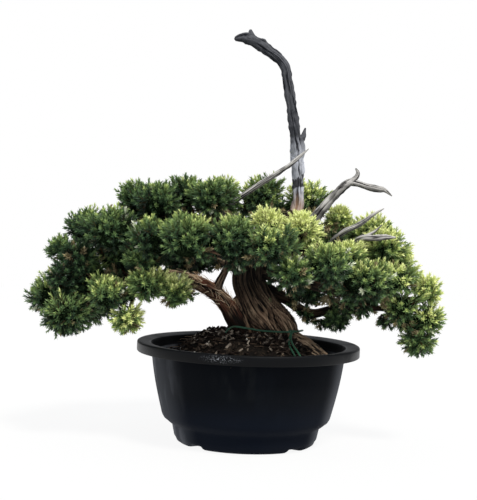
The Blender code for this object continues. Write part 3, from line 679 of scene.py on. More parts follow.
class Socket:
    """A shader value, so that sums are written as Python expressions."""

    def __init__(self, shader, socket):
        self.shader = shader
        self.socket = socket

    def math(self, operation, *values, clamp=False):
        """A Math node of these values."""
        return self.shader.add("Math", {"operation": operation, "use_clamp": clamp}, *values)

    def __add__(self, other):
        return self.math("ADD", self, other)

    __radd__ = __add__

    def __sub__(self, other):
        return self.math("SUBTRACT", self, other)

    def __rsub__(self, other):
        return self.math("SUBTRACT", other, self)

    def __mul__(self, other):
        return self.math("MULTIPLY", self, other)

    __rmul__ = __mul__

    def __truediv__(self, other):
        return self.math("DIVIDE", self, other)

    def __pow__(self, other):
        return self.math("POWER", self, other)

    def clamped(self):
        """Held between 0 and 1."""
        return self.math("ADD", self, 0.0, clamp=True)

    def between(self, low, high):
        """0 at low, 1 at high, eased between them."""
        settings = {"interpolation_type": "SMOOTHSTEP"}
        return self.shader.add("MapRange", settings, self, low, high, 0.0, 1.0)


class Shader:
    """The nodes of one material."""

    def __init__(self, name):
        self.material = bpy.data.materials.new(name)
        self.material.use_nodes = True
        self.tree = self.material.node_tree
        self.surface = self.tree.nodes["Principled BSDF"]

    def put(self, socket, value):
        """Links a socket to a value, or sets it."""
        if isinstance(value, Socket):
            self.tree.links.new(value.socket, socket)
        elif hasattr(socket.default_value, "__len__") and not hasattr(value, "__len__"):
            socket.default_value = [value] * len(socket.default_value)
        elif hasattr(value, "__len__") and len(value) == 3 and len(socket.default_value) == 4:
            socket.default_value = (*value, 1.0)
        else:
            socket.default_value = value

    def add(self, kind, settings=None, *values, out=0, **named):
        """A node of that type with its settings, then its sockets' values in order and by name."""
        node = self.tree.nodes.new(f"ShaderNode{kind}")
        for key, value in (settings or {}).items():
            if key == "stops":
                self.set_stops(node.color_ramp, value)
            else:
                setattr(node, key, value)
        for socket, value in zip(node.inputs, values):
            self.put(socket, value)
        for key, value in named.items():
            self.put(node.inputs[key.replace("_", " ")], value)
        return Socket(self, node.outputs[out])

    def set_stops(self, ramp, stops):
        """Places a ramp's stops: position and colour of each."""
        while len(ramp.elements) < len(stops):
            ramp.elements.new(1.0)
        for element, (position, colour) in zip(ramp.elements, stops):
            element.position = position
            element.color = (*colour, 1.0)

    def ramp(self, factor, stops):
        """A colour ramp."""
        return self.add("ValToRGB", {"stops": stops}, factor)

    def mix(self, factor, first, second, blend="MIX"):
        """A colour mix."""
        node = self.tree.nodes.new("ShaderNodeMix")
        node.data_type = "RGBA"
        node.blend_type = blend
        self.put(node.inputs["Factor"], factor)
        self.put(node.inputs[6], first)
        self.put(node.inputs[7], second)
        return Socket(self, node.outputs[2])

    def place(self):
        """Object coordinates."""
        return self.add("TexCoord", None, out="Object")

    def split(self, vector):
        """The three parts of a vector."""
        node = self.add("SeparateXYZ", None, vector)
        return [Socket(self, node.socket.node.outputs[i]) for i in range(3)]

    def cloud(self, vector, scale, detail=2.0, roughness=0.5):
        """A noise texture's value."""
        return self.add("TexNoise", None, vector, Scale=scale, Detail=detail, Roughness=roughness)

    def stretched(self, vector, factors):
        """The vector times a factor on each axis."""
        return self.add("VectorMath", {"operation": "MULTIPLY"}, vector, factors)

    def value(self, name):
        """A value stored on the mesh's points."""
        return self.add("Attribute", {"attribute_name": name}, out="Fac")

    def finish(self, colour, roughness, height=None, depth=0.0, strength=1.0, shine=0.1):
        """Feeds the surface, with a bump from the height if there is one, and returns the material."""
        self.surface.inputs["Specular IOR Level"].default_value = shine
        self.put(self.surface.inputs["Base Color"], colour)
        self.put(self.surface.inputs["Roughness"], roughness)
        if height is not None:
            bump = self.add("Bump", None, Strength=strength, Distance=depth, Height=height)
            self.put(self.surface.inputs["Normal"], bump)
        return self.material


def mark(x, z, place, tight_x, tight_z):
    """1 at a place on the pot's front, falling with the square of the distance, each way at its own rate."""
    across, above = x - place[0], z - place[1]
    return 1 - (across * across * tight_x + above * above * tight_z).clamped()


def pot_plastic(colour):
    """Black plastic, dusty, with a bluish foot and a scuffed rim.

    Its two ends carry a painted sheen, the scuffs on the rim's front stand partly for painted glints,
    and painted shade darkens the rim almost to black.
    """
    s = Shader("pot_plastic")
    place = s.place()
    x, y, z = s.split(place)
    dust = s.cloud(s.stretched(place, (1, 1, 0.35)), 28.0, 4.0, 0.6).between(0.48, 0.75)
    blotch = s.cloud(place, 14.0, 2.0).between(0.35, 0.7)
    front = (0 - y).between(0.108, 0.116)
    flecks = s.cloud(place, 900.0, 2.0, 0.7).between(0.56, 0.64)
    # Pale specks on the front of the rim: partly scuffs, partly painted glints.
    scuff_and_glint = (mark(x, z, SCUFF_AND_GLINT_PLACE, 1500, 50000) * front * flecks).clamped()
    shade = s.mix(dust * 0.5, colour, tuple(2.0 * part + 0.002 for part in colour))
    shade = s.mix(blotch * 0.35, shade, dimmed(colour, 0.6))
    shade = s.mix((1 - z.between(0.030, 0.062)) * 0.6, shade, (0.0022, 0.0046, 0.0110))
    # Painted sheen: streaky pale colour at the pot's left and right ends, below the rim.
    streaks = s.cloud(s.stretched(place, (1, 1, 0.22)), 62.0, 3.0).between(0.46, 0.66)
    radius = (x * x + y * y) ** 0.5
    side = x / radius
    painted_sheen = (0 - side).between(0.62, 1.0) * (0.40 + streaks * 0.45) + side.between(0.78, 1.0) ** 2 * 0.7
    shade = s.mix((painted_sheen * (1 - z.between(0.096, 0.0975))).clamped(), shade, (0.108, 0.114, 0.128))
    cloud = mark(x, z, CLOUD_PLACE, 900, 1800) * streaks * (0 - y).between(0.0, 0.05)
    shade = s.mix(cloud * 0.35, shade, (0.017, 0.019, 0.020))
    # Painted shade: the rim and the mouth, above the body, are darkened almost to black.
    shade = s.mix(z.between(0.0966, 0.0976) * 0.75, shade, (0.0002, 0.0004, 0.0008))
    shade = s.mix(scuff_and_glint * 0.75, shade, (0.30, 0.32, 0.35))
    inside = 1 - radius.between(0.1040, 0.1062)
    rough = 0.36 + dust * 0.20 + scuff_and_glint * 0.3 + inside * 0.60 + z.between(0.1060, 0.1068) * 0.2
    fine = s.cloud(place, 1400.0, 2.0)
    return s.finish(shade, rough, fine + scuff_and_glint * 2.0, 0.0003, 0.35, 0.12)


def soil_finish():
    """Moist bark mix: near-black to brown by its grain, and darker low by the wall, as painted shade."""
    s = Shader("soil_mix")
    place = s.place()
    grain = s.cloud(place, 420.0, 4.0, 0.7)
    patch = s.cloud(place, 60.0, 2.0)
    shade = s.ramp(
        (grain * 0.65 + patch * 0.35).clamped(),
        ((0.36, (0.0015, 0.0012, 0.001)), (0.54, (0.008, 0.006, 0.0045)), (0.68, (0.050, 0.035, 0.024))),
    )
    # Painted shade: the soil is darkened where it lies low by the wall, in the rim's shadow.
    shade = s.mix((1 - s.split(place)[2].between(0.094, 0.108)) * 0.7, shade, (0.0015, 0.0012, 0.001))
    return s.finish(shade, 0.9, grain, 0.0016, 0.9)


def tone_finish(name, stops, roughness, along=None, shine=0.1):
    """Small pieces coloured by the map: their own tone across it, and shaded along it if so asked."""
    s = Shader(name)
    tone, length, _ = s.split(s.add("UVMap", {"uv_map": MAP}))
    shade = s.ramp(tone, stops)
    if along is not None:
        shade = s.mix(1.0, shade, s.ramp(length, along), "MULTIPLY")
    return s.finish(shade, roughness, shine=shine)


def bark_finish(name, dark, light, red, shaded, foot=0.0):
    """Stringy bark: dark grooves, tan and red-brown strips, fine fibre along the grain, painted shade below.

    Painted shade darkens it by the shaded share high up, under the foliage, and by the foot share near
    the soil, where the lowest limb stands in the trunk's shade.
    """
    s = Shader(name)
    place = s.place()
    _, _, z = s.split(place)
    relief, streak, sky = s.value("relief"), s.value("streak"), s.value("sky")
    grain = s.add("Attribute", {"attribute_name": "grain"}, out="Vector")
    fibre = s.cloud(grain, 620.0, 3.0, 0.65)
    broad = s.cloud(grain, 190.0, 2.0)
    patch = s.cloud(place, 42.0, 2.0)
    strip = s.mix((streak * 1.3 + broad * 1.6 - 1.05).clamped(), dimmed(light, 0.14), light)
    strip = s.mix(patch.between(0.42, 0.60) * red, strip, (0.15, 0.058, 0.036))
    shade = s.mix((relief * 0.9 + fibre * 2.2 - 1.27).between(0.08, 0.80), dark, strip)
    # Painted shade: the undersides darken, by how far each point faces down.
    shade = s.mix((1 - sky.between(-0.9, 0.3)) * 0.55, shade, dark)
    # Painted shade: the trunk high up under the foliage, and the lowest limb's foot.
    shade = s.mix(z.between(*TRUNK_SHADE) * shaded, shade, dark)
    shade = s.mix((1 - z.between(*LIMB_FOOT_SHADE)) * foot, shade, dark)
    return s.finish(shade, 0.85, fibre + relief * 0.4, 0.0012, 0.8)


def dead_finish(name, dark, light, leader):
    """Weathered dead wood: grey with dark cracks, and painted shade on its undersides.

    The leader is paler below, with a dark ring there, and brown where it leaves the living wood. Higher
    up, its dark grey is painted shade.
    """
    s = Shader(name)
    place = s.place()
    x, _, z = s.split(place)
    relief, streak, sky = s.value("relief"), s.value("streak"), s.value("sky")
    grain = s.add("Attribute", {"attribute_name": "grain"}, out="Vector")
    fibre = s.cloud(grain, 900.0, 3.0, 0.65)
    patch = s.cloud(place, 55.0, 3.0)
    if leader:
        light = s.mix(z.between(*LEADER_PALE), dimmed(light, 6.6), light)
        faint = s.mix(1.0, light, 0.3, "MULTIPLY")
    else:
        faint = dimmed(light, 0.30)
    shade = s.mix((streak * 0.8 + fibre * 0.9 - 0.36).clamped(), faint, light)
    shade = s.mix((relief * 1.1 + fibre * 1.8 - 1.15).between(0.10, 0.62), dark, shade)
    shade = s.mix(patch.between(0.54, 0.68) * 0.6, shade, dark)
    # Painted shade: the undersides darken, by how far each point faces down.
    shade = s.mix((1 - sky.between(-0.8, 0.5)) * 0.6, shade, dark)
    if leader:
        shade = s.mix((1 - z.between(*LEADER_BROWN)) * 0.7, shade, (0.38, 0.24, 0.16))
        ragged = z - (x - RING_X) * RING_TILT + (patch - 0.5) * 0.05 + (fibre - 0.5) * 0.012
        ring = ragged.between(*RING_LOW) * (1 - ragged.between(*RING_HIGH))
        shade = s.mix(ring * 0.9, shade, (0.010, 0.009, 0.010))
    return s.finish(shade, 0.8, fibre + relief * 0.6, 0.0009, 0.8)


def wire_finish():
    """Glossy green plastic coating with a little dirt."""
    s = Shader("wire_green")
    place = s.place()
    dirt = s.cloud(place, 160.0, 3.0).between(0.5, 0.7)
    shade = s.mix(dirt * 0.6, (0.016, 0.075, 0.040), (0.040, 0.044, 0.024))
    return s.finish(shade, 0.38 + dirt * 0.3, shine=0.4)


def bark_relief(depth, count, lobes, seed):
    """A relief of long strips: the height falls to 0 along lines where a stretched noise is 0.

    Each lobe adds a flute: its number round the wood, its share of the radius and its turns along it.
    """

    def relief(turned, along, radius):
        flutes = 0
        for number, share, turns in lobes:
            flutes = flutes + share * np.cos(number * turned + turns * TAU * along / along.max())
        wandered = turned + 0.45 * noise_round(turned, 1.5, along * 40 + seed)

        def sample(around, rate):
            return noise_round(wandered, around, along * rate + seed)

        strip = np.minimum(abs(sample(count, 14)) * 3.0, 1)
        fibre = np.minimum(abs(sample(count * 2.2, 30)) * 2.6, 1)
        level = np.clip(0.55 * strip + 0.35 * fibre + 0.10 * sample(count * 0.9, 130), 0, 1)
        height = np.minimum(depth, 0.2 * radius) * (level - 0.72) * 1.3 + radius * flutes
        return height, level, 0.5 + 0.5 * sample(count * 1.5, 22)

    return relief


def dead_relief(knobs, seed):
    """Weathered grain: fine cracks along the wood, and slow knobs of that share of the radius."""

    def relief(turned, along, radius):
        def sample(around, rate, shift=0.0):
            return noise_round(turned, around, along * rate + seed + shift)

        crack = np.minimum(abs(sample(2.6, 12)) * 3.4, 1)
        fibre = np.minimum(abs(sample(6.0, 30)) * 2.4, 1)
        level = 0.65 * crack + 0.35 * fibre
        knob = 0.6 * sample(0.9, 75) + 0.5 * sample(1.8, 230, 9.0)
        height = np.minimum(DEAD_CRACK, 0.2 * radius) * (level - 0.75) * 1.4 + knobs * radius * knob
        return height, level, 0.5 + 0.5 * sample(4.5, 22, 5.0)

    return relief


def pot_profile():
    """The pot's closed outline as rows of radius and height: outer wall, rim, inner wall, floor."""
    foot_slope = (FOOT_TOP_RADIUS - FOOT_RADIUS) / FOOT_TOP_Z
    outer = [
        (0.0, 0.0), (0.030, 0.0), (FOOT_RADIUS - 0.0075, 0.0), (FOOT_RADIUS - 0.0040, 0.0006),
        (FOOT_RADIUS - 0.0012, 0.0024), (FOOT_RADIUS, 0.0052),
    ]
    for z in np.linspace(0.0075, FOOT_TOP_Z - 0.0035, 6):
        outer.append((FOOT_RADIUS + foot_slope * z, z))
    outer += [
        (FOOT_TOP_RADIUS - 0.0002, FOOT_TOP_Z - 0.0016), (FOOT_TOP_RADIUS + 0.0010, FOOT_TOP_Z - 0.0002),
        (FOOT_TOP_RADIUS + 0.0034, FOOT_TOP_Z + 0.0012), (SHOULDER_RADIUS - 0.0052, SHOULDER_Z - 0.0046),
        (SHOULDER_RADIUS - 0.0022, SHOULDER_Z - 0.0022), (SHOULDER_RADIUS - 0.0004, SHOULDER_Z + 0.0010),
        (SHOULDER_RADIUS + 0.0006, SHOULDER_Z + 0.0045),
    ]
    top = POT_HEIGHT - WALL - 0.0007
    for t in np.linspace(0.15, 1, 9):
        z = SHOULDER_Z + 0.0045 + (top - SHOULDER_Z - 0.0045) * t
        bow = 0.0016 * math.sin(math.pi * t)
        outer.append((SHOULDER_RADIUS + 0.0006 + (MOUTH_RADIUS - SHOULDER_RADIUS - 0.0006) * t + bow, z))
    skirt = RIM_RADIUS - WALL
    outer += [
        (MOUTH_RADIUS + 0.0012, top), (skirt - 0.0010, top), (skirt, top - 0.0008),
        (skirt, POT_HEIGHT - RIM_DROP + 0.0006), (skirt + 0.0005, POT_HEIGHT - RIM_DROP),
        (RIM_RADIUS - 0.0005, POT_HEIGHT - RIM_DROP), (RIM_RADIUS, POT_HEIGHT - RIM_DROP + 0.0006),
        (RIM_RADIUS, POT_HEIGHT - 0.0016), (RIM_RADIUS - 0.0004, POT_HEIGHT - 0.0006),
        (RIM_RADIUS - 0.0014, POT_HEIGHT), (RIM_RADIUS - 0.0050, POT_HEIGHT - 0.0002),
        (MOUTH_RADIUS + 0.0034, POT_HEIGHT - 0.0010), (MOUTH_RADIUS + 0.0016, POT_HEIGHT - 0.0013),
    ]
    inner = [
        (MOUTH_RADIUS - 0.0012, POT_HEIGHT - 0.0024), (MOUTH_RADIUS - WALL, POT_HEIGHT - 0.0040),
        (MOUTH_RADIUS - WALL, BEAD_Z + 0.0006), (MOUTH_RADIUS - WALL - 0.0008, BEAD_Z - 0.0004),
        (MOUTH_RADIUS - WALL - 0.0016, BEAD_Z - 0.0014), (BELLY_RADIUS - WALL - 0.0004, BELLY_Z),
        (SHOULDER_RADIUS - WALL, SHOULDER_Z + 0.0035), (FOOT_TOP_RADIUS - WALL, FOOT_TOP_Z),
        (FOOT_RADIUS - 0.005 - WALL, FLOOR), (0.0, FLOOR),
    ]
    return np.array(outer + inner)


def notch_rise(angle, radius):
    """How far the foot's edge is lifted at an angle: the notch's height, eased off at its two sides."""
    from_notch = angle % (TAU / NOTCHES) - TAU / (2 * NOTCHES)
    across = abs(from_notch) * radius
    share = np.clip((NOTCH_HALF + 0.0016 - across) / 0.0032, 0, 1)
    return NOTCH_HEIGHT * share * share * (3 - 2 * share)


def lathe_points(profile, segments):
    """Rows of points turned round Z: (r cos a, r sin a, z)."""
    angle = np.arange(segments) / segments * TAU
    radius, height = profile[:, 0][:, None], profile[:, 1][:, None]
    return np.stack(np.broadcast_arrays(radius * np.cos(angle), radius * np.sin(angle), height), -1)


def add_pot(pot):
    """The pot: its profile turned round Z, with the foot's outer edge lifted at each notch."""
    profile = pot_profile()
    grid = lathe_points(profile[1:-1], pot.segments)
    angle = np.arctan2(grid[..., 1], grid[..., 0])
    radius = np.hypot(grid[..., 0], grid[..., 1])
    outer = np.arange(len(grid))[:, None] < np.argmax(profile[1:-1, 0] > RIM_RADIUS - 0.001)
    on_edge = outer & (radius > FOOT_RADIUS - 0.012)
    lift = np.where(on_edge, notch_rise(angle, radius), 0)
    grid[..., 2] = np.maximum(grid[..., 2], lift)
    faces, corner_map = wrapped_grid(len(grid), pot.segments, (0.0, 1.0))
    poles = [(0, 0, profile[0, 1]), (0, 0, profile[-1, 1])]
    shape = Shape()
    shape.add(np.vstack([grid.reshape(-1, 3), poles]), faces, corner_map)
    shell = shape.make("pot_shell", pot_plastic(tuple(pot.colour)), "pot_plastic")
    shell.data.set_sharp_from_angle(angle=SHARP_EDGE)
    drill(shell)
    return shell


def drill(shell):
    """Cuts the drain holes through the pot's floor."""
    for i in range(NOTCHES):
        turn = TAU * (i + 0.5) / NOTCHES
        spot = (DRAIN_CIRCLE * math.cos(turn), DRAIN_CIRCLE * math.sin(turn), 0.0)
        bpy.ops.mesh.primitive_cylinder_add(vertices=24, radius=DRAIN_RADIUS, depth=4 * FLOOR, location=spot)
        cutter = bpy.context.object
        modifier = shell.modifiers.new("drain", "BOOLEAN")
        modifier.operation = "DIFFERENCE"
        modifier.solver = "MANIFOLD"
        modifier.object = cutter
        with bpy.context.temp_override(object=shell, active_object=shell, selected_objects=[shell]):
            bpy.ops.object.modifier_apply(modifier=modifier.name)
        bpy.data.objects.remove(cutter)


def soil_height(x, y):
    """The soil's surface without its clods: flat near the wall, heaped round the trunk."""
    share = np.clip((BALL_FOOT_RADIUS - np.hypot(x, y)) / (BALL_FOOT_RADIUS - BALL_TOP_RADIUS), 0, 1)
    return SOIL_EDGE_Z + (SOIL_TOP_Z - SOIL_EDGE_Z) * share * share * (3 - 2 * share)


def clods(x, y):
    """Lumps of two sizes, from -1 to 1."""
    flat = np.stack([x, y, np.zeros_like(x)], -1)
    return 0.6 * noise(flat * 110) + 0.4 * noise(flat * 330 + 7)


def add_soil(soil):
    """The soil: a round surface of height soil_height + clods, closed by a wall and a floor in the pot."""
    radii = SOIL_RADIUS * np.linspace(1, 0.02, 62) ** 0.9
    rows = [(FOOT_RADIUS - 0.010, SOIL_FLOOR_Z), (FOOT_TOP_RADIUS - 0.004, FOOT_TOP_Z + 0.003)]
    rows += [(SHOULDER_RADIUS - 0.004, SHOULDER_Z + 0.006), (BELLY_RADIUS - 0.0036, BELLY_Z)]
    profile = np.array(rows + [(r, SOIL_EDGE_Z) for r in radii])
    grid = lathe_points(profile, SOIL_SIDES)
    top = grid[len(rows):]
    x, y = top[..., 0], top[..., 1]
    top[..., 2] = soil_height(x, y) + soil.clod * clods(x, y)
    centre = (0, 0, float(top[-1, :, 2].mean()))
    faces, corner_map = wrapped_grid(len(grid), SOIL_SIDES, (0.0, 1.0))
    shape = Shape()
    shape.add(np.vstack([grid.reshape(-1, 3), [(0, 0, SOIL_FLOOR_Z), centre]]), faces, corner_map)
    piece = shape.make("soil_mix", soil_finish(), "soil")
    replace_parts(piece, "soil")


def scatter_on_soil(rng, count):
    """Places on the soil, evenly spread and clear of the trunk's foot, with the surface's height there."""
    found = np.zeros((0, 2))
    while len(found) < count:
        radius = (SOIL_RADIUS - 0.003) * np.sqrt(rng.uniform(0, 1, 2 * count))
        turn = rng.uniform(0, TAU, 2 * count)
        spots = np.stack([radius * np.cos(turn), radius * np.sin(turn)], 1)
        clear = np.linalg.norm(spots - TRUNK_FOOT, axis=1) > TRUNK_FOOT_RADIUS
        found = np.vstack([found, spots[clear]])
    x, y = found[:count].T
    return np.stack([x, y, soil_height(x, y)], 1)


def turned_frames(rng, count, tilt):
    """Three unit vectors for each of many small pieces that lie at random, tilted by up to that angle."""
    turn = rng.uniform(0, TAU, count)
    lean = rng.uniform(-tilt, tilt, count)
    roll = rng.uniform(-tilt, tilt, count)
    ahead = np.stack([np.cos(turn) * np.cos(lean), np.sin(turn) * np.cos(lean), np.sin(lean)], 1)
    across = unit(np.cross(UP, ahead))
    lift = np.cross(ahead, across)
    across = circling(roll, across, lift)
    return ahead, across, np.cross(ahead, across)


def add_flakes(shape, places, frames, size, tones, rng):
    """Flat flakes, each an 8-cornered block that narrows to its ends, with its corners moved at random."""
    block = np.array(list(itertools.product((-1, 1), repeat=3)), float)
    count = len(places)
    corners = block * (1 + rng.uniform(-0.35, 0.25, (count, 8, 3)))
    corners[..., 1] *= rng.uniform(0.45, 1.0, (count, 1)) ** (corners[..., 0] > 0)
    world = places[:, None] + sum(
        corners[..., axis, None] * size[:, axis, None, None] * frames[axis][:, None] for axis in range(3)
    )
    sides = ((0, 2, 3, 1), (4, 5, 7, 6), (0, 1, 5, 4), (2, 6, 7, 3), (0, 4, 6, 2), (1, 3, 7, 5))
    faces = np.array([f for a, b, c, d in sides for f in ((a, b, c), (a, c, d))])
    add_copies(shape, world, faces, tones[:, None] + 0.006 * block[:, 1], 0.5 + 0.5 * block[:, 0])


def add_threads(shape, starts, steps, radius, tones):
    """Thin bent threads with three sides: starts is their first points, steps the moves between the rest."""
    joints = steps.shape[1] + 1
    spine = np.concatenate([starts[:, None], starts[:, None] + np.cumsum(steps, axis=1)], axis=1)
    ahead = unit(np.gradient(spine, axis=1))
    across = unit(np.cross(ahead, UP + 0.01))
    lift = np.cross(ahead, across)
    taper = np.linspace(1, 0.45, joints)[None, :, None, None]
    ring = circling(np.arange(3) / 3 * TAU, across[:, :, None], lift[:, :, None])
    points = spine[:, :, None] + ring * taper * np.reshape(radius, (-1, 1, 1, 1))
    grid = np.arange(joints * 3).reshape(joints, 3)
    low, high = grid[:-1], grid[1:]
    near, far = np.roll(low, -1, 1), np.roll(high, -1, 1)
    faces = [np.stack([low, near, far], -1).reshape(-1, 3), np.stack([low, far, high], -1).reshape(-1, 3)]
    faces = np.vstack([*faces, [(2, 1, 0)], [tuple(grid[-1])]])
    tone = tones[:, None, None] + 0.004 * np.array((-1, 0, 1))
    add_copies(shape, points, faces, tone, (np.arange(joints) / (joints - 1))[:, None])


def add_chips(soil, rng):
    """Bark chips, greyer and paler on the mound, and darker by the wall as painted shade."""
    count = soil.chips
    places = scatter_on_soil(rng, count)
    places[:, 2] += rng.uniform(-0.0006, 0.0022, count)
    size = np.stack([rng.uniform(*span, count) for span in CHIP_SIZES], 1) * MM
    mound = (places[:, 2] - SOIL_EDGE_Z) / (SOIL_TOP_Z - SOIL_EDGE_Z)
    # Painted shade: the chips' tones fall where they lie low by the wall.
    tones = rng.beta(1.4, 1.6, count) * np.clip(0.36 + 0.86 * mound, 0, 1)
    shape = Shape()
    add_flakes(shape, places, turned_frames(rng, count, 0.75), size, 0.01 + 0.98 * tones, rng)
    stops = (
        (0.0, (0.003, 0.002, 0.002)), (0.35, (0.014, 0.009, 0.007)), (0.6, (0.055, 0.041, 0.031)),
        (0.85, (0.31, 0.265, 0.215)), (1.0, (0.62, 0.57, 0.50)),
    )
    shape.make("bark_chips", tone_finish("chip_brown", stops, 0.85), "soil", smooth=False)


def add_grit(soil, rng):
    """Pale grains that lie between the chips."""
    count = soil.grit
    places = scatter_on_soil(rng, count)
    places[:, 2] += 0.0016
    size = rng.uniform(*GRAIN_SIZE, (count, 1)) * np.array(GRAIN_SHAPE) * MM
    frames, tones = turned_frames(rng, count, 1.4), rng.uniform(*WHOLE_TONE, count)
    shape = Shape()
    add_flakes(shape, places, frames, size, tones, rng)
    stops = ((0.0, (0.30, 0.27, 0.23)), (1.0, (0.78, 0.76, 0.72)))
    shape.make("pale_grit", tone_finish("grit_white", stops, 0.9), "soil", smooth=False)


def add_root_threads(soil, rng):
    """Fine roots that wander and arch over the soil."""
    count = soil.threads
    starts = scatter_on_soil(rng, count)
    heading = rng.uniform(0, TAU, (count, 1)) + np.cumsum(rng.normal(0, 0.55, (count, 5)), axis=1)
    rise = rng.uniform(-0.25, 0.30, (count, 5)) * np.array((1, 0.7, 0, -0.7, -1.4))
    steps = np.stack([np.cos(heading), np.sin(heading), rise], -1)
    steps = steps * rng.uniform(*ROOT_THREAD_STEP, (count, 1, 1)) * MM
    starts[:, 2] += 0.0012
    radius, tones = rng.uniform(*ROOT_THREAD_RADIUS, count) * MM, rng.uniform(*WHOLE_TONE, count)
    shape = Shape()
    add_threads(shape, starts, steps, radius, tones)
    stops = ((0.0, (0.012, 0.008, 0.006)), (0.6, (0.070, 0.046, 0.032)), (1.0, (0.26, 0.19, 0.13)))
    shape.make("root_threads", tone_finish("thread_brown", stops, 0.8), "soil", smooth=False)


def add_trunk(wood):
    """The trunk with its stringy bark, its surface roots, and the web between it and its lowest limb."""
    finish = bark_finish("trunk_bark", tuple(wood.bark_dark), tuple(wood.bark_light), 0.25, 0.8)
    shape = Shape()
    route = smooth_route(metres(TRUNK_ROUTE), TRUNK_STEPS)
    add_tube(shape, route, TRUNK_SIDES, bark_relief(wood.groove, 11.0, TRUNK_LOBES, 3.0), twist=7.0)
    trunk = shape.make("trunk_bark", finish, "bark")
    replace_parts(trunk, "trunk")
    roots = Shape()
    swellings = (*ROOTS, CROTCH)
    for i, (root, strip) in enumerate(zip(swellings, strips([1] * len(swellings)))):
        relief = bark_relief(wood.groove * 0.8, 3.2, (), 20.0 + 5 * i)
        add_tube(roots, smooth_route(metres(root), ROOT_STEPS), ROOT_SIDES, relief, strip, 3.0)
    roots.make("surface_roots", finish, "bark")


def centre_and_reach(spray):
    """Centre and reach of a row of the table of sprays."""
    return metres(spray[:3]), spray[3] * MM


def twig_ends(facts):
    """What a limb sends a twig to: each spray but its first, and each cluster."""
    return (*facts["sprays"][1:], *facts.get("clusters", ()))


def limb_route(facts):
    """A limb's centre line and radius, from its root to its end inside its first spray."""
    points = metres(facts["route"])
    centre, reach = centre_and_reach(facts["sprays"][0])
    end = centre + unit(points[-1] - centre) * reach * ENTRY_SHARE
    points = np.vstack([points, end])
    root, tip = metres(facts["girth"])
    radii = root + (tip - root) * np.linspace(0, 1, len(points)) ** LIMB_TAPER
    return np.column_stack([points, radii])


def twig_route(limb, spray):
    """A twig from the limb, a little before its nearest point, to the middle of a spray."""
    line = smooth_route(limb, 64)
    centre, reach = centre_and_reach(spray)
    nearest = int(np.argmin(np.linalg.norm(line[:, :3] - centre, axis=1)))
    step = np.linalg.norm(line[1, :3] - line[0, :3])
    start = line[max(2, nearest - round(TWIG_LEAD / step))]
    end = centre + unit(start[:3] - centre) * reach * ENTRY_SHARE
    middle = (start[:3] + end) / 2 - UP * TWIG_SAG * np.linalg.norm(end - start[:3])
    thick = min(TWIG_RADIUS, TWIG_SHARE_OF_LIMB * start[3])
    radii = (thick, (thick + TWIG_END_RADIUS) / 2, TWIG_END_RADIUS)
    return np.column_stack([[start[:3], middle, end], radii])


def add_limbs(wood):
    """Each limb with its twigs, as one piece."""
    dark, light = tuple(wood.bark_dark), tuple(wood.bark_light)
    # A lit and a dim copy of the limb bark: the limbs on the right get the dim one as painted shade.
    warm = bark_finish("limb_bark", dark, dimmed(light, 0.85), 1.0, 0.0, 0.85)
    dim = bark_finish("shaded_bark", dark, dimmed(light, 0.16), 0.2, 0.0)
    thick = (THICK_LIMB_STEP, THICK_LIMB_SIDES, 4.0)
    thin = (THIN_LIMB_STEP, THIN_LIMB_SIDES, 2.2)
    for number, (name, facts) in enumerate(LIMBS.items()):
        limb = limb_route(facts)
        step, sides, grooves = thick if facts["girth"][0] > THICK_LIMB else thin
        relief = bark_relief(wood.groove * 0.9, grooves, LIMB_LOBES, 40.0 + 7 * number)
        ends = twig_ends(facts)
        shares = strips([4] + [1] * len(ends))
        shape = Shape()
        add_tube(shape, smooth_route(limb, int(route_length(limb) / step)), sides, relief, shares[0], 4.0)
        for end, strip in zip(ends, shares[1:]):
            twig = smooth_route(twig_route(limb, end), TWIG_STEPS)
            add_tube(shape, twig, TWIG_SIDES, bark_relief(0.0004, 1.2, (), number), strip)
        shape.make(f"limb_{name}", dim if name.startswith("right") else warm, "bark")


def add_peelings():
    """Dry strips of bark that peel from the upper side of the lowest left limb."""
    rng = np.random.default_rng(SEED + 1)
    route = smooth_route(limb_route(LIMBS["first_left"]), 200)
    at = rng.choice(PEELING_PLACES, PEELINGS) + rng.normal(0, 8, PEELINGS)
    at = np.clip(at, 50, 115).astype(int)
    tangents, across, up = ring_frames(route[:, :3])
    outward = circling(rng.uniform(0, TAU, PEELINGS), across[at], up[at])
    outward = unit(outward + 0.8 * UP - 0.5 * np.array((0, 1, 0)))
    outward = unit(outward - tangents[at] * (outward * tangents[at]).sum(1)[:, None])
    starts = route[at, :3] + outward * route[at, 3:4] * rng.uniform(0.9, 1.08, (PEELINGS, 1))
    side = np.cross(tangents[at], outward)
    swing = rng.uniform(-0.9, 0.9, (PEELINGS, 1)) + np.cumsum(rng.normal(0, 0.25, (PEELINGS, 4)), axis=1)
    curl = rng.uniform(-0.1, 0.5, (PEELINGS, 1)) * np.array((1.0, 0.6, 0.0, -0.5))
    steps = circling(swing, tangents[at][:, None], side[:, None]) + curl[..., None] * outward[:, None]
    steps = steps * rng.uniform(*PEELING_STEP, (PEELINGS, 1, 1)) * MM
    radius, tones = rng.uniform(*PEELING_RADIUS, PEELINGS) * MM, rng.uniform(*WHOLE_TONE, PEELINGS)
    shape = Shape()
    add_threads(shape, starts, steps, radius, tones)
    stops = ((0.0, (0.13, 0.055, 0.035)), (0.45, (0.38, 0.25, 0.15)), (1.0, (0.82, 0.70, 0.50)))
    shape.make("bark_peelings", tone_finish("straw", stops, 0.8), "bark", smooth=False)


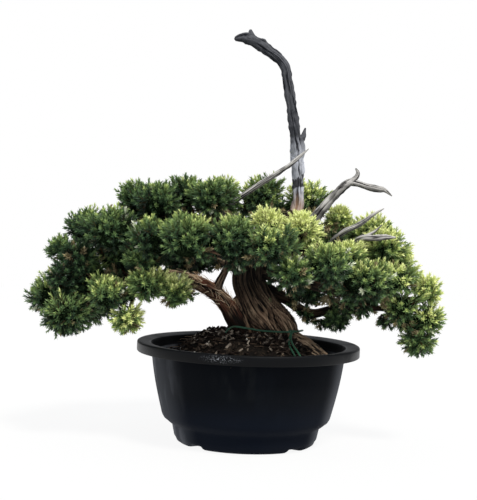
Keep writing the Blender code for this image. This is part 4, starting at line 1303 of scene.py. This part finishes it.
def add_dead_wood():
    """The dead leader and the bare branches, with weathered grain."""
    # The leader's colours are far darker than the jins', as painted shade.
    dark = dead_finish("leader_grey", (0.006, 0.007, 0.010), (0.110, 0.114, 0.128), True)
    pale = dead_finish("jin_grey", (0.011, 0.010, 0.011), (0.62, 0.60, 0.575), False)
    for number, (name, arms) in enumerate(DEAD_WOOD.items()):
        finish, step, sides, knobs = pale, BRANCH_STEP, BRANCH_SIDES, BRANCH_KNOBS
        if name == "dead_leader":
            finish, step, sides, knobs = dark, LEADER_STEP, LEADER_SIDES, LEADER_KNOBS
        shape = Shape()
        lengths = [route_length(metres(arm)) for arm in arms]
        for i, (arm, strip) in enumerate(zip(arms, strips(lengths))):
            route = smooth_route(metres(arm), max(FEWEST_STEPS, int(lengths[i] / step)))
            relief = dead_relief(knobs, 3.0 * number + 11.0 * i)
            add_tube(shape, route, SIDE_ARM_SIDES if i else sides, relief, strip, 5.0)
        piece = shape.make(f"{name}_grain", finish, "dead_wood")
        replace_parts(piece, name)


def add_tie():
    """The tie wire: its strands, and two turns and a half of wire round the knot."""
    shape = Shape()
    shares = strips([6, 2, 2, 3])
    for points, strip in zip(TIE_STRANDS, shares):
        route = smooth_route(metres(points), max(30, 11 * len(points)))
        add_tube(shape, np.column_stack([route, np.full(len(route), WIRE_RADIUS)]), WIRE_SIDES, plain, strip)
    turn = np.linspace(0, KNOT_TURNS * TAU, KNOT_STEPS)
    along = np.linspace(-KNOT_HALF_WIDTH, KNOT_HALF_WIDTH, KNOT_STEPS)
    coil = np.stack([along, KNOT_RADIUS * np.cos(turn), KNOT_RADIUS * np.sin(turn)], 1)
    route = np.column_stack([metres(TIE_STRANDS[1][0]) + coil, np.full(KNOT_STEPS, KNOT_WIRE_RADIUS)])
    add_tube(shape, route, WIRE_SIDES, plain, shares[3])
    piece = shape.make("tie_wire_coated", wire_finish(), "wire_coating")
    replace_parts(piece, "tie_wire")


def spread_directions(count, turn):
    """Directions spread evenly over a sphere by the golden angle."""
    i = np.arange(count)
    height = 1 - (2 * i + 1) / count
    width = np.sqrt(1 - height * height)
    angle = turn + GOLDEN_ANGLE * i
    return np.stack([width * np.cos(angle), width * np.sin(angle), height], 1)


def all_sprays():
    """Name, centre, reach and tone of each spray."""
    rows = []
    for limb, facts in LIMBS.items():
        for number, spray in enumerate(facts["sprays"], start=1):
            rows.append((f"{limb}_{number}", *centre_and_reach(spray), spray[4]))
    return rows


def buried(points, own, sprays, share):
    """True for each point that lies deeper than that share of its reach in any other spray."""
    inside = np.zeros(len(points), bool)
    for other, (_, centre, reach, _) in enumerate(sprays):
        if other != own:
            far = np.linalg.norm((points - centre) / (1, 1, FLATNESS), axis=1)
            inside |= far < share * reach
    return inside


def hanging(centre):
    """How far a spray hangs: 0 for one that stands up, 1 for the lowest."""
    return min(1.0, max(0.0, HANG_BELOW - centre[2]) / HANG_OVER)


def tufts_of(own, sprays, foliage, rng):
    """Fork, axis and exposure of each tuft of a spray.

    The tufts stand on an even lattice over the flattened sphere, with their tips near its surface. Those
    with their tips inside another spray are left out. They turn up a little, or hang on a low spray.
    """
    _, centre, reach, _ = sprays[own]
    spacing = TUFT_SPACING + TUFT_GROWTH * reach + BACK_TUFT_GAP * (centre[1] > BACK_TUFTS_FROM)
    area = 4 * math.pi * reach**2 * (2 * FLATNESS + 1) / 3
    directions = spread_directions(max(FEWEST_TUFTS, round(area / spacing**2)), rng.uniform(0, TAU))
    directions = unit(directions + rng.normal(0, 0.09, directions.shape))
    far = reach / np.linalg.norm(directions / (1, 1, FLATNESS), axis=1)
    hang = hanging(centre)
    far = far * rng.uniform(0.74 - 0.2 * hang, 1.10, len(far))
    far = far * (1 + 0.22 * noise(2.0 * directions + 5 * own))
    tall = 1.16 * shoot_share(centre, reach) * foliage.shoot + 0.85 * foliage.needle
    forks = centre + directions * np.maximum(1.08 * far - tall, 0.10 * far)[:, None]
    axes = unit(directions / (1, 1, FLATNESS))
    axes[:, 2] += 0.15 - 0.8 * hang
    axes = unit(axes)
    kept = ~buried(centre + directions * far[:, None], own, sprays, 0.80)
    kept &= rng.uniform(0, 1, len(far)) > np.where(directions[:, 2] < -0.35, 0.35, 0.0)
    return forks[kept], axes[kept], directions[kept, 2]


def shoot_share(centre, reach):
    """How much of the full length a shoot has: less on a small spray, more on one that hangs."""
    return min(1.0, reach / SHORT_SHOOT_REACH) * (1 + 0.5 * hanging(centre))


def shoots_of(forks, axes, small, foliage, rng):
    """Foot, heading and length of each shoot: a spiral of them inside a cone round each tuft's axis."""
    count = foliage.shoots
    k = np.arange(count)
    lean = TUFT_CONE * np.sqrt((k + 0.2) / count)
    lean = lean + rng.normal(0, 0.09, (len(forks), count))
    turn = rng.uniform(0, TAU, (len(forks), 1)) + GOLDEN_ANGLE * k
    side = unit(np.cross(axes, unit(rng.normal(0, 1, axes.shape))))
    lift = np.cross(axes, side)
    heading = circling(lean, axes[:, None], circling(turn, side[:, None], lift[:, None]))
    length = small * foliage.shoot * rng.uniform(0.84, 1.12, lean.shape)
    foot = np.broadcast_to(forks[:, None], heading.shape)
    return foot.reshape(-1, 3), heading.reshape(-1, 3), length.ravel()


def needles_of(foot, heading, length, tone, foliage, rng):
    """Points and tones of the needles of many shoots, three to a whorl.

    A shoot curves up: its point at share s is foot + length (s heading + bend s^2 up). Needles leave it
    at an angle that falls from foot to tip. Each is a keeled blade of four points: its foot, two sides
    where it is widest, and its tip.
    """
    share = np.linspace(FIRST_WHORL, 1.0, foliage.whorls)[None, :, None]
    stem = foot[:, None] + length[:, None, None] * (share * heading[:, None] + share**2 * BEND)
    ahead = unit(heading[:, None] + 2 * share * BEND)[:, :, None]
    side = unit(np.cross(ahead, unit(rng.normal(0, 1, (len(foot), 1, 1, 3)))))
    lift = np.cross(ahead, side)
    shape = (len(foot), foliage.whorls, WHORL)
    turn = np.arange(foliage.whorls)[:, None] * (TAU / 2 / WHORL) + np.arange(WHORL) * (TAU / WHORL)
    turn = turn + rng.normal(0, 0.2, shape)
    splay = np.radians(SPLAY_AT_FOOT - SPLAY_LOST * share**1.6) + rng.normal(0, 0.08, shape)
    blade = circling(splay, ahead, circling(turn, side, lift))
    long = foliage.needle * (0.80 + 0.25 * np.sin(math.pi * share)) * rng.uniform(0.85, 1.12, shape)
    long = long[..., None]
    across = unit(np.cross(ahead, blade))
    inner = np.cross(blade, across)
    half = foliage.needle_width / 2 * rng.uniform(0.85, 1.15, shape)[..., None]
    start = np.broadcast_to(stem[:, :, None], blade.shape)
    widest = start + WIDEST_AT * long * blade + KEEL * half * inner
    points = np.stack([start, widest - half * across, widest + half * across, start + long * blade], axis=-2)
    # Darker at the shoot's foot, lighter at its tip: partly new growth, partly painted shade.
    shade = tone[:, None, None] + 0.42 * (share - 0.66) + rng.normal(0, 0.03, shape)
    return points.reshape(-1, 4, 3), np.clip(shade, *GREENS).ravel()


def add_blades(shape, points, shade):
    """Adds needles that lie inside the part's box, each with its tone across the map and its length along."""
    inside = np.all((points > INNER_BOX[0]) & (points < INNER_BOX[1]), axis=(1, 2))
    faces = np.array([(0, 1, 2), (3, 2, 1), (0, 3, 1), (0, 2, 3)])
    tone = shade[inside, None] + 0.006 * np.array((0, -1, 1, 0))
    add_copies(shape, points[inside], faces, tone, (0.0, WIDEST_AT, WIDEST_AT, 1.0))


def per_needle(values, foliage):
    """The values of the shoots, repeated for each of their needles."""
    return np.repeat(values, WHORL * foliage.whorls)


def dried(shade, chance, tones, foliage, rng):
    """The needles' tones with some shoots dry, each shoot by its own chance, in tones from this span."""
    dry = per_needle(rng.uniform(0, 1, len(chance)) < chance, foliage)
    return np.where(dry, rng.uniform(*tones, shade.shape), shade)


def add_shoot_stems(shape, foot, heading, length, tones):
    """The bent stem of each shoot."""
    add_threads(shape, foot, (length[:, None] * (heading + BEND))[:, None], SHOOT_RADIUS, tones)


def add_spray(own, sprays, foliage, finish, stem_finish):
    """One spray: a branchlet from its middle to each tuft, and the tufts' shoots and needles."""
    rng = np.random.default_rng((SEED, own))
    name, centre, reach, tone = sprays[own]
    forks, axes, height = tufts_of(own, sprays, foliage, rng)
    foot, heading, length = shoots_of(forks, axes, shoot_share(centre, reach), foliage, rng)
    # Tones: the spray's own and random for each tuft and shoot, with painted light and shade: lighter where a
    # tuft or shoot faces up, darker where a shoot leans away from its tuft's axis.
    tuft_tone = 0.27 + 0.52 * tone + 0.22 * height + rng.normal(0, 0.08, len(forks))
    facing = (heading * np.repeat(axes, foliage.shoots, axis=0)).sum(1)
    shoot_tone = np.repeat(tuft_tone, foliage.shoots) + rng.normal(0, 0.03, len(foot)) + 0.06 * heading[:, 2]
    shoot_tone = shoot_tone + 0.55 * (facing - 0.80)
    points, shade = needles_of(foot, heading, length, shoot_tone, foliage, rng)
    below = np.maximum(0, -np.repeat(height, foliage.shoots))
    shade = dried(shade, 0.008 + 0.10 * below, (0.02, 0.14), foliage, rng)
    shade = np.where(per_needle(rng.uniform(0, 1, len(foot)) < PALE_SHARE, foliage), PALE_TONE, shade)
    shape = Shape()
    add_blades(shape, points, shade)
    piece = shape.make(f"needles_{name}", finish, "foliage", smooth=False)
    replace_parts(piece, f"spray_{name}")
    stems = Shape()
    gap = forks - centre
    sag = 0.10 * np.linalg.norm(gap, axis=1)[:, None] * UP
    steps = np.stack([0.5 * gap - sag, 0.5 * gap + sag], axis=1)
    tones = rng.uniform(0.02, 0.4, len(forks))
    add_threads(stems, np.broadcast_to(centre, forks.shape), steps, BRANCHLET_RADIUS, tones)
    add_shoot_stems(stems, foot, heading, length, rng.uniform(0.3, 0.95, len(foot)))
    stems.make(f"stems_{name}", stem_finish, "bark", smooth=False)


def inner_tufts(sprays, rng):
    """Fork, axis, tone and chance of being dry of each tuft of shaded shoots.

    They stand at even steps along each limb and twig, turned round it by the golden angle. Those deep
    inside a spray are left out, and so is the first part of a limb. A cluster is a small ball of them.
    """
    rows = []
    for limb, facts in LIMBS.items():
        route = limb_route(facts)
        bare = BARE_SHARE.get(limb, USUAL_BARE_SHARE)
        step = CLOSE_STEP if limb in BARE_SHARE else WIDE_STEP
        depth = INNER_DEPTH.get(limb, USUAL_INNER_DEPTH)
        for cluster in facts.get("clusters", ()):
            centre, reach = centre_and_reach(cluster)
            outward = spread_directions(CLUSTER_TUFTS, 0.0)
            rows.append((centre + CLUSTER_CORE * reach * outward, outward, cluster[4], CLUSTER_DRY_SHARE))
        for number, spray in enumerate((facts["sprays"][0], *twig_ends(facts))):
            line = twig_route(route, spray) if number else route
            stops = smooth_route(line, max(4, int(route_length(line) / step)))
            tangents, across, up = ring_frames(stops[:, :3])
            outward = circling(GOLDEN_ANGLE * np.arange(len(stops)) + rng.uniform(0, TAU), across, up)
            first = 1 if number else round(bare * len(stops))
            forks = (stops[:, :3] + outward * (stops[:, 3:] + 0.003))[first:]
            axes = unit(outward + 0.4 * tangents)[first:]
            kept = ~buried(forks, None, sprays, depth)
            rows.append((forks[kept], axes[kept], 0.16 + 0.24 * spray[4], INNER_DRY_SHARE))
    forks, axes, tones, dryness = zip(*rows)
    counts = [len(part) for part in forks]
    return np.concatenate(forks), np.concatenate(axes), np.repeat(tones, counts), np.repeat(dryness, counts)


def add_inner_shoots(sprays, foliage, finish, stem_finish):
    """Shaded shoots, some of them dry, on the limbs and twigs between the sprays."""
    rng = np.random.default_rng(SEED + 2)
    forks, axes, tones, dryness = inner_tufts(sprays, rng)
    foot, heading, length = shoots_of(forks, axes, INNER_SHOOT_SHARE, foliage, rng)
    tone = np.repeat(tones, foliage.shoots) + rng.normal(0, 0.06, len(foot))
    points, shade = needles_of(foot, heading, length, tone, foliage, rng)
    shade = dried(shade, np.repeat(dryness, foliage.shoots), (0.0, 0.12), foliage, rng)
    shape, stems = Shape(), Shape()
    add_blades(shape, points, shade)
    shape.make("inner_shoots", finish, "foliage", smooth=False)
    add_shoot_stems(stems, foot, heading, length, rng.uniform(0.02, 0.6, len(foot)))
    stems.make("inner_stems", stem_finish, "bark", smooth=False)


def lumps(seed):
    """A relief of soft lumps, a quarter of the radius high."""

    def relief(turned, along, radius):
        return 0.25 * radius * noise_round(turned, 1.7, along * 90 + seed), 1.0, 0.5

    return relief


def add_hearts(sprays):
    """The dark middles of the sprays, painted shade in their depths.

    At angle t from its foot, a ball of radius r is r sin t wide.
    """
    s = Shader("heart_painted_shade")
    grain = s.cloud(s.place(), 620.0, 3.0, 0.6)
    stops = ((0.42, (0.002, 0.004, 0.002)), (0.58, (0.010, 0.018, 0.008)), (0.70, (0.030, 0.044, 0.018)))
    finish = s.finish(s.ramp(grain, stops), 0.9, grain, 0.002, 0.9, 0.0)
    shape = Shape()
    turn = np.linspace(HEART_POLE, math.pi - HEART_POLE, HEART_RINGS)
    for own, ((_, (x, y, z), reach, _), strip) in enumerate(zip(sprays, strips([1] * len(sprays)))):
        ball = max(reach - HEART_DEPTH, 0.25 * reach)
        route = np.broadcast_arrays(x, y, z - FLATNESS * ball * np.cos(turn), ball * np.sin(turn))
        add_tube(shape, np.stack(route, 1), HEART_SIDES, lumps(4.0 * own), strip)
    shape.make("spray_hearts_painted_shade", finish, "foliage")


def add_camera():
    """The camera at the photograph's angle."""
    data = bpy.data.cameras.new("camera")
    data.sensor_width = SENSOR
    data.lens = SENSOR / 2 / HALF_VIEW
    camera = bpy.data.objects.new("camera", data)
    look = (Vector(CAMERA_TARGET) - Vector(CAMERA_PLACE)).to_track_quat("-Z", "Y").to_matrix().to_4x4()
    camera.matrix_world = Matrix.Translation(CAMERA_PLACE) @ look @ Matrix.Rotation(CAMERA_ROLL, 4, "Z")
    bpy.context.scene.collection.objects.link(camera)
    bpy.context.scene.camera = camera


def add_floor(colour):
    """A wide round floor that fades to the sky's white away from the pot."""
    bpy.ops.mesh.primitive_circle_add(vertices=96, radius=FLOOR_RADIUS, fill_type="NGON")
    floor = bpy.context.object
    floor.name = "floor"
    s = Shader("floor_pale")
    x, y, _ = s.split(s.place())
    away = FLOOR_WHITE + (1 - FLOOR_WHITE) * ((x * x + y * y) ** 0.5).between(*FLOOR_FADE)
    s.finish(colour, 0.9)
    glow = s.add("Emission", None, (1.0, 1.0, 1.0), 1.0)
    surface = Socket(s, s.surface.outputs[0])
    both = s.add("MixShader", None, away, surface, glow)
    s.tree.links.new(both.socket, s.tree.nodes["Material Output"].inputs["Surface"])
    floor.data.materials.append(s.material)


def add_lights(settings):
    """A soft sun from the front and upper right, and a sky that is white at eye level."""
    scene = bpy.context.scene
    scene.view_settings.view_transform = "Standard"
    sun = bpy.data.lights.new("sun", "SUN")
    sun.energy = settings.sun_strength
    sun.angle = SUN_SPREAD
    sun.color = SUN_COLOUR
    lamp = bpy.data.objects.new("sun", sun)
    lamp.rotation_euler = SUN_TURN
    scene.collection.objects.link(lamp)
    world = bpy.data.worlds.new("sky")
    scene.world = world
    world.use_nodes = True
    nodes, links = world.node_tree.nodes, world.node_tree.links
    coordinates = nodes.new("ShaderNodeTexCoord")
    split = nodes.new("ShaderNodeSeparateXYZ")
    ramp = nodes.new("ShaderNodeValToRGB")
    ramp.color_ramp.elements[0].position = SKY_WHITE_TO
    ramp.color_ramp.elements[0].color = (1, 1, 1, 1)
    ramp.color_ramp.elements[1].position = SKY_TINT_FROM
    ramp.color_ramp.elements[1].color = (*dimmed(SKY_TINT, settings.sky_strength), 1)
    links.new(coordinates.outputs["Generated"], split.inputs[0])
    links.new(split.outputs["Z"], ramp.inputs[0])
    links.new(ramp.outputs[0], nodes["Background"].inputs["Color"])


class StageOperator(bpy.types.Operator):
    """Adds the floor, the lights, the sky and the camera"""

    bl_idname = "bonsai.add_stage"
    bl_label = "Stage"

    def execute(self, context):
        settings = context.scene.bonsai_stage
        add_camera()
        add_floor(tuple(settings.floor_colour))
        add_lights(settings)
        return {"FINISHED"}


class PotOperator(bpy.types.Operator):
    """Adds the pot"""

    bl_idname = "bonsai.add_pot"
    bl_label = "Pot"

    def execute(self, context):
        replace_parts(add_pot(context.scene.bonsai_pot), "pot")
        return {"FINISHED"}


class SoilOperator(bpy.types.Operator):
    """Adds the soil with its chips, grit and fine roots"""

    bl_idname = "bonsai.add_soil"
    bl_label = "Soil"

    def execute(self, context):
        add_soil(context.scene.bonsai_soil)
        rng = np.random.default_rng(SEED)
        for add_bits in (add_chips, add_grit, add_root_threads):
            add_bits(context.scene.bonsai_soil, rng)
        return {"FINISHED"}


class LivingWoodOperator(bpy.types.Operator):
    """Adds the trunk, its roots, its limbs and their twigs"""

    bl_idname = "bonsai.add_living_wood"
    bl_label = "Living wood"

    def execute(self, context):
        add_trunk(context.scene.bonsai_wood)
        add_limbs(context.scene.bonsai_wood)
        add_peelings()
        return {"FINISHED"}


class DeadWoodOperator(bpy.types.Operator):
    """Adds the dead leader and the bare branches"""

    bl_idname = "bonsai.add_dead_wood"
    bl_label = "Dead wood"

    def execute(self, context):
        add_dead_wood()
        return {"FINISHED"}


class TieOperator(bpy.types.Operator):
    """Adds the wire that ties the root ball down"""

    bl_idname = "bonsai.add_tie"
    bl_label = "Tie wire"

    def execute(self, context):
        add_tie()
        return {"FINISHED"}


class FoliageOperator(bpy.types.Operator):
    """Adds every spray of needles"""

    bl_idname = "bonsai.add_foliage"
    bl_label = "Foliage"

    def execute(self, context):
        needles = tone_finish("needle_green", NEEDLE_STOPS, 0.5, NEEDLE_ALONG, 0.25)
        stems = tone_finish("stem_brown", STEM_STOPS, 0.8)
        sprays = all_sprays()
        for own in range(len(sprays)):
            add_spray(own, sprays, context.scene.bonsai_foliage, needles, stems)
        add_inner_shoots(sprays, context.scene.bonsai_foliage, needles, stems)
        add_hearts(sprays)
        return {"FINISHED"}


class BonsaiPanel(bpy.types.Panel):
    """Buttons for each piece"""

    bl_label = "Juniper bonsai"
    bl_idname = "VIEW3D_PT_bonsai"
    bl_space_type = "VIEW_3D"
    bl_region_type = "UI"
    bl_category = "Bonsai"

    def draw(self, context):
        for operator in OPERATORS:
            self.layout.operator(operator.bl_idname)


SETTINGS = {
    "bonsai_stage": StageSettings,
    "bonsai_pot": PotSettings,
    "bonsai_soil": SoilSettings,
    "bonsai_wood": WoodSettings,
    "bonsai_foliage": FoliageSettings,
}
OPERATORS = (
    StageOperator, PotOperator, SoilOperator, LivingWoodOperator, DeadWoodOperator, TieOperator,
    FoliageOperator,
)


def register():
    """Registers the settings, the operators and the panel."""
    for kind in (*SETTINGS.values(), *OPERATORS, BonsaiPanel):
        bpy.utils.register_class(kind)
    for name, kind in SETTINGS.items():
        setattr(bpy.types.Scene, name, PointerProperty(type=kind))


def unregister():
    """Undoes register."""
    for name in SETTINGS:
        delattr(bpy.types.Scene, name)
    for kind in reversed((*SETTINGS.values(), *OPERATORS, BonsaiPanel)):
        bpy.utils.unregister_class(kind)


def main():
    """Adds everything in order."""
    register()
    for operator in OPERATORS:
        group, name = operator.bl_idname.split(".")
        getattr(getattr(bpy.ops, group), name)()


if __name__ == "__main__":
    main()
